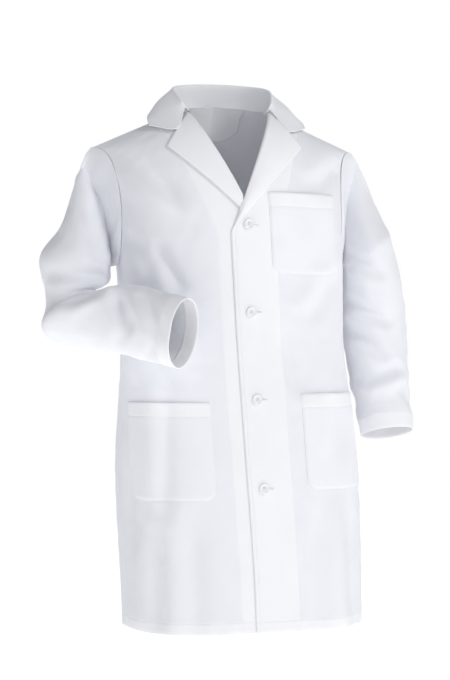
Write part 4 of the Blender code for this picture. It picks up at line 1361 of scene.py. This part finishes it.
@dataclass
class Collar:
    """The collar, two layers: a stand that rises from the neck seam, a fold, and a flat pointed fall."""

    form: CoatForm
    gorge: tuple[float, float] = (0.0788, 0.988)
    notch: tuple[float, float] = (0.106, 0.949)
    point: tuple[float, float] = (0.152, 0.959)
    gap: float = 1.2 * MM
    thickness: float = 2.0 * MM
    stations: tuple = (
        ((0.000, 0.0917, 1.021), (0.000, 0.080, 1.060), (0.000, 0.126, 1.012)),
        ((0.052, 0.078, 1.012), (0.060, 0.066, 1.056), (0.086, 0.108, 0.999)),
        ((0.086, 0.018, 1.003), (0.096, 0.018, 1.044), (0.137, 0.036, 0.995)),
        ((0.081, -0.034, 0.998), (0.091, -0.035, 1.016), (0.153, -0.016, 0.982)),
    )

    def on_front(self, sign: int, x: float, height: float, lift: float) -> np.ndarray:
        """A point above the front of the form."""
        return self.form.above_front(sign, np.array([x]), np.array([height]), np.array([lift]))[0]

    def section(self, station: tuple, sign: int) -> np.ndarray:
        """Points across the collar: up the stand, over the fold and down the fall."""
        seam, fold, edge = (self.form.stood(*(np.array(c) for c in (sign * x, y, h))) for x, y, h in station)
        out = unit(np.array([edge[0] - fold[0], edge[1] - fold[1], 0]))
        up = np.array([0, 0, 1.0])
        inner, outer = fold - out * 0.004 - up * 0.002, fold + out * 0.005 - up * 0.003
        middle = (fold + edge) / 2 + out * 0.005 + up * 0.003
        return np.array([seam, (seam + inner) / 2, inner, fold + up * 0.002, outer, middle, edge])

    def end(self, sign: int) -> np.ndarray:
        """The collar's front end, along the gorge seam, out to the notch and its point."""
        x, h = self.gorge
        roll = self.on_front(sign, x + 0.001, h + 0.004, 0.0105)
        seam = self.on_front(sign, x - 0.004, h + 0.004, 0.0045)
        notch = self.on_front(sign, self.notch[0] + self.gap, self.notch[1] + self.gap + 0.001, 0.0085)
        point = self.on_front(sign, *self.point, 0.0085)
        inner = self.on_front(sign, x - 0.002, h + 0.004, 0.0085)
        return np.array([seam, (seam + inner) / 2, inner, roll, roll + (notch - roll) * 0.2, notch, point])

    def ply(self) -> Ply:
        """The collar from the wearer's right end round the neck to the left."""
        half = [self.section(s, 1) for s in self.stations] + [self.end(1)]
        other = [self.section(s, -1) for s in self.stations[1:]] + [self.end(-1)]
        grid = np.array(list(reversed(other)) + half)
        rows = np.concatenate([np.linspace(0, 6, 49), [5.9, 5.96]])
        columns = np.concatenate([[0, 0.04, 0.1], np.linspace(0.18, 7.82, 88), [7.9, 7.96, 8.0]])
        points = resample(grid, columns, np.sort(rows))
        points = np.swapaxes(points, 0, 1)
        normals = grid_normals(points)
        if (normals[-8] * (points[-8] - np.array([0, -0.05, 0.0]))).sum() < 0:
            points = points[:, ::-1]
            normals = grid_normals(points)
        points = points + normals * self.thickness / 2
        distance = np.linalg.norm(np.diff(points, axis=0), axis=-1)
        run = np.concatenate([np.zeros((1, points.shape[1])), np.cumsum(distance, 0)])
        to_edge = run[-1:] - run
        points = points + normals * stitch_relief(to_edge - EDGE_STITCH)[..., None] * 0.7
        self.surface, self.normals, self.to_edge = points, normals, to_edge
        return Ply("collar", points, self.thickness, layers=2.0)

    def sew(self, seams: Seams) -> None:
        """Marks out the stitches just inside the fall's edge."""
        line, outs = [], []
        for c in range(3, self.surface.shape[1] - 3):
            distance = self.to_edge[::-1, c]
            row = len(distance) - 1 - float(np.interp(EDGE_STITCH, distance, np.arange(len(distance))))
            line.append(resample(self.surface, np.array([row]), np.array([float(c)]))[0, 0])
            outs.append(self.normals[int(round(row)), c])
        seams.add(np.array(line), np.array(outs))


@dataclass
class Pocket:
    """A patch pocket sewn on a front round three edges, its mouth hemmed and standing a little open."""

    name: str
    front: Front
    box: tuple[float, float, float, float]
    square: bool = False
    room: float = 1.8 * MM
    lift: float = 2.0 * MM
    mouth: float = 0.026
    corner: float = 0.016
    thickness: float = 0.9 * MM

    def ply(self) -> Ply:
        """The pocket's patch, laid on the settled front."""
        sign, panel = self.front.side.value, self.front.panel
        inner, outer, bottom, top = self.box
        down = spaced(top - bottom, 5 * MM, (top - bottom - self.mouth, 2 * MM))
        over = spaced(outer - inner, 5 * MM, (2 * MM, outer - inner - 2 * MM))
        points = np.zeros((len(down), len(over), 3))
        lifts = np.zeros(points.shape[:2])
        for r, rise in enumerate(down):
            narrow = self.corner * max(1 - rise / self.corner, 0.0) ** 1.6
            share = np.interp(over, [0, outer - inner], [0, 1])
            distances = inner + narrow + share * (outer - inner - 2 * narrow)
            levels, places = np.full(len(over), (bottom + rise) / self.front.form.underarm), sign * distances
            if self.square:
                angles, levels = self.front.form.front_at(distances, np.full(len(over), bottom + rise))
                places = np.array([self.front.place_of(sign * a, v) for a, v in zip(angles, levels)])
            found, normals = line_on(panel, levels, places)
            open_share = (rise / (top - bottom)) ** 2
            middle = np.sin(math.pi * share)
            body = self.room * (0.45 + 0.55 * open_share) * middle**0.6
            gape = 1.4 * MM * open_share**3 * middle
            edge = np.minimum.reduce([over, (outer - inner) - over, np.full(len(over), rise)])
            tuck = self.lift * (0.55 + 0.45 * smooth(0, 4 * MM, edge))
            points[r] = found + normals * (tuck + body + gape)[:, None]
            lifts[r] = edge
        if sign < 0:
            points, lifts = points[:, ::-1], lifts[:, ::-1]
        out = grid_normals(points)
        rise = down[:, None] + 0 * over[None]
        sewn = stitch_relief(lifts - 2 * MM) * 0.8 + stitch_relief(top - bottom - self.mouth - rise)
        points = points + out * sewn[..., None]
        self.surface, self.normals = points, grid_normals(points)
        self.down, self.over = down, over
        hemmed = smooth(top - bottom - self.mouth - 0.0008, top - bottom - self.mouth + 0.0008, rise)
        return Ply(self.name, points, self.thickness + 1.3 * MM * hemmed, layers=1 + 0.5 + 0.5 * hemmed)

    def sew(self, seams: Seams) -> None:
        """Marks out the stitches round its three sewn edges and along its mouth hem."""
        down, over = self.down, self.over
        rows = np.interp([2 * MM, down[-1] - 1 * MM], down, np.arange(len(down)))
        columns = np.interp([2 * MM, over[-1] - 2 * MM], over, np.arange(len(over)))
        path = [(r, columns[0]) for r in np.linspace(rows[1], rows[0], 80)]
        path += [(rows[0], c) for c in np.linspace(columns[0], columns[1], 80)]
        path += [(r, columns[1]) for r in np.linspace(rows[0], rows[1], 80)]
        hem = float(np.interp(down[-1] - self.mouth, down, np.arange(len(down))))
        for line in (path, [(hem, c) for c in np.linspace(columns[0], columns[1], 80)]):
            points = np.array([resample(self.surface, np.array([r]), np.array([c]))[0, 0] for r, c in line])
            outs = np.array([self.normals[int(round(r)), int(round(c))] for r, c in line])
            seams.add(points, outs)


@dataclass
class Button:
    """A four-hole button, its thread, and the worked buttonhole that it closes."""

    number: int
    radius: float = 0.010
    height: float = 3.0 * MM
    hole: float = 1.0 * MM
    circle: float = 2.4 * MM
    steps: int = 48

    def disc(self, place: Matrix, finish: bpy.types.Material) -> bpy.types.Object:
        """The button: a turned disc with a rounded rim and a sunk middle, drilled four times."""
        r, h = self.radius, self.height
        outline = [(0, 0), (r * 0.86, 0), (r * 0.95, 0.15 * MM), (r * 0.99, 0.6 * MM), (r, 1.2 * MM)]
        outline += [(r, h - 1.2 * MM), (r * 0.985, h - 0.6 * MM), (r * 0.95, h - 0.2 * MM), (r * 0.90, h)]
        outline += [(r * 0.84, h - 0.05 * MM), (r * 0.76, h - 0.4 * MM), (r * 0.70, h - 0.8 * MM)]
        outline += [(r * 0.62, h - 0.95 * MM), (r * 0.3, h - 1.0 * MM), (0, h - 1.0 * MM)]
        turns = 2 * math.pi * np.arange(self.steps) / self.steps
        rings = [
            np.stack([p * np.cos(turns), p * np.sin(turns), np.full(self.steps, z)], -1)
            for p, z in outline[1:-1]
        ]
        vertices = np.concatenate([*rings, [[0, 0, 0], [0, 0, outline[-1][1]]]])
        faces = grid_faces(len(rings), self.steps, True)
        low, high = len(vertices) - 2, len(vertices) - 1
        top = (len(rings) - 1) * self.steps
        for i in range(self.steps):
            j = (i + 1) % self.steps
            faces += [(low, j, i), (high, top + i, top + j)]
        mesh = bpy.data.meshes.new("button_blank")
        mesh.from_pydata(vertices.tolist(), [], faces)
        blank = put(f"button_{self.number}_disc", mesh)
        reach = self.circle / math.sqrt(2)
        drills = []
        for k, (x, y) in enumerate((a * reach, b * reach) for a in (-1, 1) for b in (-1, 1)):
            bore = bpy.data.meshes.new("drill")
            ring = [[x + self.hole * math.cos(t), y + self.hole * math.sin(t)] for t in turns[::3]]
            count = len(ring)
            bore.from_pydata(
                [[*p, -0.004] for p in ring] + [[*p, 0.01] for p in ring], [],
                [*grid_faces(2, count, True), tuple(range(count))[::-1], tuple(range(count, 2 * count))],
            )
            drill = put("drill", bore)
            drills.append(drill)
            cut = blank.modifiers.new(f"drill_{k}", "BOOLEAN")
            cut.operation, cut.object, cut.solver = "DIFFERENCE", drill, "EXACT"
        graph = bpy.context.evaluated_depsgraph_get()
        done = bpy.data.meshes.new_from_object(blank.evaluated_get(graph))
        blank.modifiers.clear()
        blank.data = done
        for drill in drills:
            bpy.data.objects.remove(drill)
        done.transform(place)
        done.materials.clear()
        done.materials.append(finish)
        done.polygons.foreach_set("use_smooth", [True] * len(done.polygons))
        done.set_sharp_from_angle(angle=math.radians(50))
        return blank

    def stitches(self, place: Matrix) -> list:
        """Two parallel bars of thread across the middle, each from hole to hole."""
        reach, top = self.circle / math.sqrt(2), self.height - 1.0 * MM
        lines = []
        for x in (-reach, reach):
            for shift in (-0.35, 0.0, 0.35):
                places = []
                for t in np.linspace(-1, 1, 9):
                    rise = 0.45 * MM * (1 - t**4) - 0.3 * MM * t**8
                    places.append(place @ Vector((x + shift * MM, t * reach, top + rise)))
                normal = (place.to_3x3() @ Vector((0, 0, 1))).normalized()
                lines.append((np.array([list(p) for p in places]), np.array([list(normal)] * 9)))
        return lines


def frame_at(point: np.ndarray, normal: np.ndarray) -> Matrix:
    """A place on the cloth as a matrix, its Z outwards and its Y up the cloth."""
    z = Vector(normal).normalized()
    x = Vector((0, 0, 1)).cross(z).normalized()
    matrix = Matrix((x, z.cross(x), z)).transposed().to_4x4()
    matrix.translation = Vector(point)
    return matrix


# ---- stage ---------------------------------------------------------------------------------------------
@dataclass
class Studio:
    """A pale floor, an even white surround, soft lamps and the camera."""

    floor_height: float = -1.45
    floor_radius: float = 14.0
    azimuth: float = -12.0
    target: tuple[float, float, float] = (0.005, -0.09, -0.468)
    distance: float = 4.0
    seen_height: float = 1.335
    floor_glow: float = 0.72
    surround: float = 0.34
    lamps: tuple = (
        ((2.3, -2.9, 2.1), 1.3, 55.0),
        ((-3.2, -2.6, 0.9), 2.6, 9.0),
        ((0.6, 3.2, 1.8), 2.4, 20.0),
        ((0.0, -3.4, -0.9), 1.8, 5.0),
    )

    def build(self) -> None:
        """Makes them all."""
        self.floor()
        self.world()
        for place, size, power in self.lamps:
            lamp = bpy.data.lights.new("softbox", "AREA")
            lamp.shape, lamp.size, lamp.energy = "DISK", size, power
            put("softbox", lamp).matrix_world = self.aimed(Vector(place), Vector((0, -0.1, -0.45)))
        self.camera()
        bpy.context.scene.view_settings.view_transform = "Standard"

    @staticmethod
    def aimed(place: Vector, target: Vector) -> Matrix:
        """A matrix at a place, looking at a target."""
        turn = (target - place).to_track_quat("-Z", "Y")
        return Matrix.Translation(place) @ turn.to_matrix().to_4x4()

    def floor(self) -> None:
        """A round matt floor."""
        turns, r = np.linspace(0, 2 * math.pi, 97)[:-1], self.floor_radius
        points = [[r * math.cos(t), r * math.sin(t), self.floor_height] for t in turns]
        mesh = bpy.data.meshes.new("floor")
        mesh.from_pydata(points, [], [tuple(range(96))])
        paint, _, shader = new_finish("matt_white_paint")
        shader.inputs["Base Color"].default_value = linear("#F4F4F4")
        shader.inputs["Roughness"].default_value = 0.95
        shader.inputs["Emission Color"].default_value = (1, 1, 1, 1)
        shader.inputs["Emission Strength"].default_value = self.floor_glow
        mesh.materials.append(paint)
        put("floor", mesh)

    def world(self) -> None:
        """White all round, dimmer as a light than it looks."""
        world = bpy.data.worlds.new("surround")
        bpy.context.scene.world = world
        world.use_nodes = True
        tree = world.node_tree
        tree.nodes.clear()
        dim = add_node(tree, "ShaderNodeBackground", {"Color": linear("#F6F8FF"), "Strength": self.surround})
        seen = add_node(tree, "ShaderNodeBackground", {"Color": (1, 1, 1, 1), "Strength": 1.0})
        ray = add_node(tree, "ShaderNodeLightPath").outputs["Is Camera Ray"]
        mixed = add_node(tree, "ShaderNodeMixShader", {0: ray, 1: dim.outputs[0], 2: seen.outputs[0]})
        add_node(tree, "ShaderNodeOutputWorld", {"Surface": mixed.outputs[0]})

    def camera(self) -> None:
        """Looks at the coat's front from a little to the wearer's right."""
        turn, target = math.radians(self.azimuth), Vector(self.target)
        place = target + Vector((math.sin(turn), -math.cos(turn), 0)) * self.distance
        lens = bpy.data.cameras.new("camera")
        lens.sensor_width = 36.0
        lens.lens = lens.sensor_width * self.distance / self.seen_height
        bpy.context.scene.camera = put("camera", lens)
        bpy.context.scene.camera.matrix_world = self.aimed(place, target)


# ---- the whole coat ---------------------------------------------------------------------------------------
FRONT_FOLDS = (
    Fold((-0.156, -0.284), (-0.105, -0.373), 0.014, 0.0097),
    Fold((-0.236, -0.085), (-0.100, -0.205), 0.020, 0.0067),
    Fold((-0.190, -0.075), (-0.105, -0.215), 0.016, 0.0053),
    Fold((-0.205, -0.26), (-0.150, -0.345), 0.016, 0.0075),
    Fold((-0.134, -0.560), (-0.140, -0.800), 0.016, 0.0060),
    Fold((-0.180, -0.470), (-0.120, -0.560), 0.020, 0.0060),
    Fold((-0.156, -0.830), (-0.150, -1.03), 0.016, 0.0075),
    Fold((-0.090, -0.790), (-0.085, -1.05), 0.024, 0.0060),
    Fold((-0.205, -0.700), (-0.215, -1.04), 0.022, 0.0105),
    Fold((0.075, -0.440), (0.135, -0.575), 0.026, 0.0075),
    Fold((0.215, -0.330), (0.150, -0.430), 0.020, 0.0067),
    Fold((0.235, -0.120), (0.150, -0.180), 0.020, 0.0053),
    Fold((0.225, -0.460), (0.205, -0.700), 0.020, 0.0075),
    Fold((0.150, -0.800), (0.160, -1.05), 0.026, 0.0083),
    Fold((0.235, -0.780), (0.250, -1.05), 0.022, 0.0112),
    Fold((0.100, -0.850), (0.098, -1.05), 0.020, 0.0053),
)
BACK_FOLDS = (
    Fold((-0.170, -0.150), (-0.120, -0.420), 0.026, 0.0055, front=False),
    Fold((0.175, -0.150), (0.125, -0.420), 0.026, 0.0055, front=False),
    Fold((-0.100, -0.320), (-0.080, -0.620), 0.030, 0.0040, front=False),
    Fold((0.110, -0.300), (0.085, -0.560), 0.030, 0.0040, front=False),
    Fold((-0.150, -0.600), (-0.165, -1.05), 0.030, 0.0080, front=False),
    Fold((-0.060, -0.660), (-0.050, -1.05), 0.032, 0.0065, front=False),
    Fold((0.070, -0.640), (0.085, -1.05), 0.032, 0.0075, front=False),
    Fold((0.180, -0.600), (0.205, -1.05), 0.030, 0.0080, front=False),
    Fold((-0.060, -0.480), (0.080, -0.520), 0.022, 0.0030, front=False),
)
RIGHT_ARM_FOLDS = (
    Fold((-0.285, -0.110), (-0.240, -0.190), 0.012, 0.0068),
    Fold((-0.345, -0.335), (-0.215, -0.345), 0.013, 0.0095),
    Fold((-0.330, -0.395), (-0.255, -0.365), 0.012, 0.0068),
    Fold((-0.300, -0.200), (-0.250, -0.310), 0.018, 0.0061),
    Fold((-0.240, -0.375), (-0.215, -0.450), 0.013, 0.0068),
    Fold((-0.190, -0.375), (-0.165, -0.470), 0.013, 0.0054),
    Fold((-0.300, -0.170), (-0.330, -0.300), 0.020, 0.0068, front=False),
    Fold((-0.350, -0.350), (-0.270, -0.330), 0.016, 0.0081, front=False),
)
LEFT_ARM_FOLDS = (
    Fold((0.250, -0.290), (0.310, -0.340), 0.014, 0.0074),
    Fold((0.245, -0.385), (0.330, -0.430), 0.013, 0.0081),
    Fold((0.255, -0.440), (0.320, -0.500), 0.013, 0.0074),
    Fold((0.270, -0.545), (0.350, -0.515), 0.014, 0.0068),
    Fold((0.290, -0.130), (0.320, -0.260), 0.018, 0.0061),
    Fold((0.345, -0.420), (0.300, -0.480), 0.014, 0.0081, front=False),
    Fold((0.310, -0.150), (0.340, -0.320), 0.022, 0.0074, front=False),
    Fold((0.290, -0.520), (0.350, -0.560), 0.016, 0.0068, front=False),
)
ARM_RINGS = {
    Side.RIGHT: (
        Ring((-0.288, 0.006, 0.735), (-0.62, 0.02, -0.78), (1, 0, 0), 0, 0.061, 0.070),
        Ring((-0.312, 0.000, 0.682), (-0.25, -0.10, -0.95), (1, 0, 0), 0, 0.066, 0.070),
        Ring((-0.320, -0.040, 0.606), (0.36, -0.52, -0.78), (0.6, -0.6, 0.5), 40, 0.068, 0.062),
        Ring((-0.236, -0.134, 0.594), (0.58, -0.78, -0.20), (0, 0, 1), 52, 0.067, 0.043),
        Ring((-0.158, -0.236, 0.564), (0.58, -0.79, -0.19), (0, 0, 1), 52, 0.066, 0.039),
    ),
    Side.LEFT: (
        Ring((0.284, 0.008, 0.735), (0.62, 0.0, -0.78), (-1, 0, 0), 0, 0.058, 0.070),
        Ring((0.292, 0.012, 0.665), (0.16, 0.05, -0.98), (-1, 0, 0), 0, 0.061, 0.074),
        Ring((0.298, 0.012, 0.580), (0.06, -0.12, -0.98), (-1, 0, 0), 0, 0.064, 0.072),
        Ring((0.300, -0.003, 0.500), (0.04, -0.22, -0.97), (-1, 0, 0), 0, 0.059, 0.066),
        Ring((0.306, -0.030, 0.368), (0.05, -0.24, -0.97), (-1, 0, 0), 0, 0.052, 0.060),
    ),
}


@dataclass
class LabCoat:
    """The coat: its cut pieces shaped, finished, sewn and handed to their bodies."""

    tailor: Tailor
    button_heights: tuple[float, ...] = (0.773, 0.605, 0.439, 0.271)
    tape: float = 0.008
    fronts: dict = field(init=False, default_factory=dict)
    backs: dict = field(init=False, default_factory=dict)
    seams: dict = field(init=False, default_factory=dict)

    def build(self) -> None:
        """Makes everything, from the body of the coat outwards."""
        form = self.tailor.form
        for side in Side:
            name = side.name.lower()
            self.seams[name] = Seams(f"{name}_front_stitching", SKIRTS[side])
            self.fronts[side] = Front(side, form, folds=FRONT_FOLDS)
            self.backs[side] = Back(side, form, folds=BACK_FOLDS)
            self.fronts[side].shape()
            self.backs[side].shape()
        self.seams["body"] = Seams("body_stitching", TORSO)
        for side in Side:
            self.body(side)
            self.sleeve(side)
        self.neck()
        self.pockets()
        self.buttons()
        for seams in self.seams.values():
            seams.sew(self.tailor.stitching)

    def body(self, side: Side) -> None:
        """One side's front and back and the tape over the seam between them."""
        front, back, name = self.fronts[side], self.backs[side], side.name.lower()
        self.tailor.finish(front.ply(), SKIRTS[side], front.nodes())
        self.tailor.finish(back.ply(), TORSO, (f"{name}_back", f"{name}_back_hem"))
        front.sew(self.seams[name])
        back.sew(self.seams["body"])
        levels = np.linspace(0.035, 0.985, 120)
        sign = side.value
        run, share = front.run, self.tape / front.run
        near = front.panel.sample(levels, sign * np.array([run - self.tape, run - self.tape / 2]))
        far = back.panel.sample(levels, sign * np.array([0.0, share / 2, share]))
        strip = np.concatenate([near, far], 1) if sign > 0 else np.concatenate([near, far], 1)[:, ::-1]
        strip = strip - grid_normals(strip) * 1.1 * MM
        ply = Ply(f"{name}_side_tape", strip, 0.6 * MM, layers=2.0)
        self.tailor.finish(ply, TORSO, (f"{name}_side_seam_tape",))

    def sleeve(self, side: Side) -> None:
        """One sleeve, in two pieces, and the stitches round its cuff and armhole."""
        folds = RIGHT_ARM_FOLDS if side is Side.RIGHT else LEFT_ARM_FOLDS
        name = side.name.lower()
        sleeve = Sleeve(side, self.tailor.form, ARM_RINGS[side], folds=folds)
        sleeve.shape()
        upper, lower = sleeve.plies()
        upper_nodes, lower_nodes = sleeve.nodes()
        sign = side.value
        top = Motion("torso", f"{name}_upper_arm", (sign * 0.24, -0.08, -0.12), (sign * 0.30, -0.08, -0.32))
        arm = Motion(
            f"{name}_upper_arm", f"{name}_forearm", (sign * 0.28, -0.08, -0.32), (sign * 0.25, -0.2, -0.50)
        )
        for ply, motion, nodes, share in (
            (upper, top, upper_nodes, sleeve.share), (lower, arm, lower_nodes, sleeve.bend)
        ):
            piece = self.tailor.finish(ply, motion, nodes)
            spread = share**2 * (3 - 2 * share)
            weights = spread[ply.vertex_rows].astype(np.float32)
            piece.data.attributes["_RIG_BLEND"].data.foreach_set("value", weights)
        cuff = Seams(f"{name}_cuff_stitching", Motion(f"{name}_forearm"))
        columns = np.linspace(0, sleeve.count, 180)
        cuff.add(*line_on(sleeve.panel, np.full(180, sleeve.cuff), columns))
        self.seams[f"{name}_cuff"] = cuff
        front, levels = self.fronts[side], np.linspace(1.06, 1.96, 90)
        beside = EDGE_STITCH
        for panel, place in (
            (front.panel, front.run - beside), (self.backs[side].panel, beside / front.run)
        ):
            self.seams["body"].add(*line_on(panel, levels, np.full(90, sign * place)))

    def neck(self) -> None:
        """Lapels, collar, neck facing and the tape down the centre back."""
        form, tailor = self.tailor.form, self.tailor
        for side, lift, start in ((Side.RIGHT, 4.4 * MM, 0.30), (Side.LEFT, 6.8 * MM, 0.04)):
            name = side.name.lower()
            lapel = Lapel(side, form, lift, start)
            tailor.finish(lapel.ply(), TORSO, (f"{name}_lapel_back", f"{name}_lapel_face"))
            lapel.sew(self.seams["body"])
        collar = Collar(form)
        tailor.finish(collar.ply(), TORSO, ("upper_collar", "under_collar"))
        collar.sew(self.seams["body"])
        left, right = self.backs[Side.LEFT].panel, self.backs[Side.RIGHT].panel
        levels = np.linspace(1.72, 1.985, 24)
        shares = np.linspace(0.74, 1.0, 24)
        band = np.concatenate([left.sample(levels, shares), right.sample(levels, -shares[::-1][1:])], 1)
        band = band - grid_normals(band) * 1.6 * MM
        tailor.finish(Ply("neck_facing", band, 0.8 * MM, layers=2.0), TORSO, ("back_neck_facing",))
        levels = np.concatenate([np.linspace(0.035, 1, 110), np.linspace(1, 1.70, 40)[1:]])
        inset = self.tape / self.fronts[Side.LEFT].run
        strip = np.concatenate(
            [left.sample(levels, np.array([1 - inset, 1 - inset / 2, 1.0])),
             right.sample(levels, np.array([-(1 - inset / 2), -(1 - inset)]))], 1)
        strip = strip - grid_normals(strip) * 1.1 * MM
        tailor.finish(Ply("centre_back_tape", strip, 0.6 * MM, layers=2.0), TORSO, ("centre_back_seam_tape",))

    def pockets(self) -> None:
        """Two hip pockets and the chest pocket."""
        for name, side, box in (
            ("right_hip", Side.RIGHT, (0.092, 0.272, 0.250, 0.433)),
            ("left_hip", Side.LEFT, (0.092, 0.272, 0.266, 0.449)),
            ("chest", Side.LEFT, (0.047, 0.190, 0.678, 0.833)),
        ):
            pocket = Pocket(f"{name}_patch", self.fronts[side], box, name == "chest")
            self.tailor.finish(pocket.ply(), TORSO, (f"{name}_pocket", f"{name}_pocket_hem"))
            pocket.sew(self.seams["body"])

    def buttons(self) -> None:
        """Four buttons, each on its own body, with the buttonholes on the left front."""
        form, tailor = self.tailor.form, self.tailor
        front = self.fronts[Side.LEFT]
        holes = Seams("buttonhole_stitching", SKIRTS[Side.LEFT])
        for number, height in enumerate(self.button_heights, 1):
            level = float(form.level_at(np.array([0.0]), height)[0])
            point, normal = front.panel.spot(level, 0.0, 1.3 * MM)
            place = frame_at(point, normal)
            button = Button(number)
            disc = button.disc(place, tailor.resin)
            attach(disc, f"button_{number}_body")
            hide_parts(f"button_{number}")
            thread = tailor.stitching.along(
                f"button_{number}_thread", button.stitches(place),
                pitch=0.5 * MM, length=0.8 * MM, width=0.42 * MM,
            )
            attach(thread, f"button_{number}_body")
            LOG.info("button %d at %.0f mm above the hem", number, height / MM)
            turns = np.linspace(0, 2 * math.pi, 121)
            for half in (0.7 * MM, 1.5 * MM):
                cosine, sine = np.cos(turns), np.sin(turns)
                across = 8.5 * MM + (10.0 * MM + half) * np.sign(cosine) * np.abs(cosine) ** 0.35
                up = half * np.sign(sine) * np.abs(sine) ** 0.8
                holes.add(*line_on(front.panel, level + up / 0.70, across), 0.1 * MM)
            shank = frame["nodes"][f"button_shank_{number}"]
            shank.data.materials.clear()
            shank.data.materials.append(tailor.thread)
        piece = tailor.stitching.along(
            holes.name, holes.lines, pitch=0.6 * MM, length=0.55 * MM, width=0.8 * MM
        )
        holes.motion.apply(piece)


def main() -> None:
    """Builds the stage and the coat, piece by piece."""
    logging.basicConfig(level=logging.INFO, format="%(name)s: %(message)s")
    Studio().build()
    thread = SpunThread().make()
    tailor = Tailor(CoatForm(), Poplin().make(), Resin().make(), thread, Stitching(thread))
    LabCoat(tailor).build()


if __name__ == "__main__":
    main()
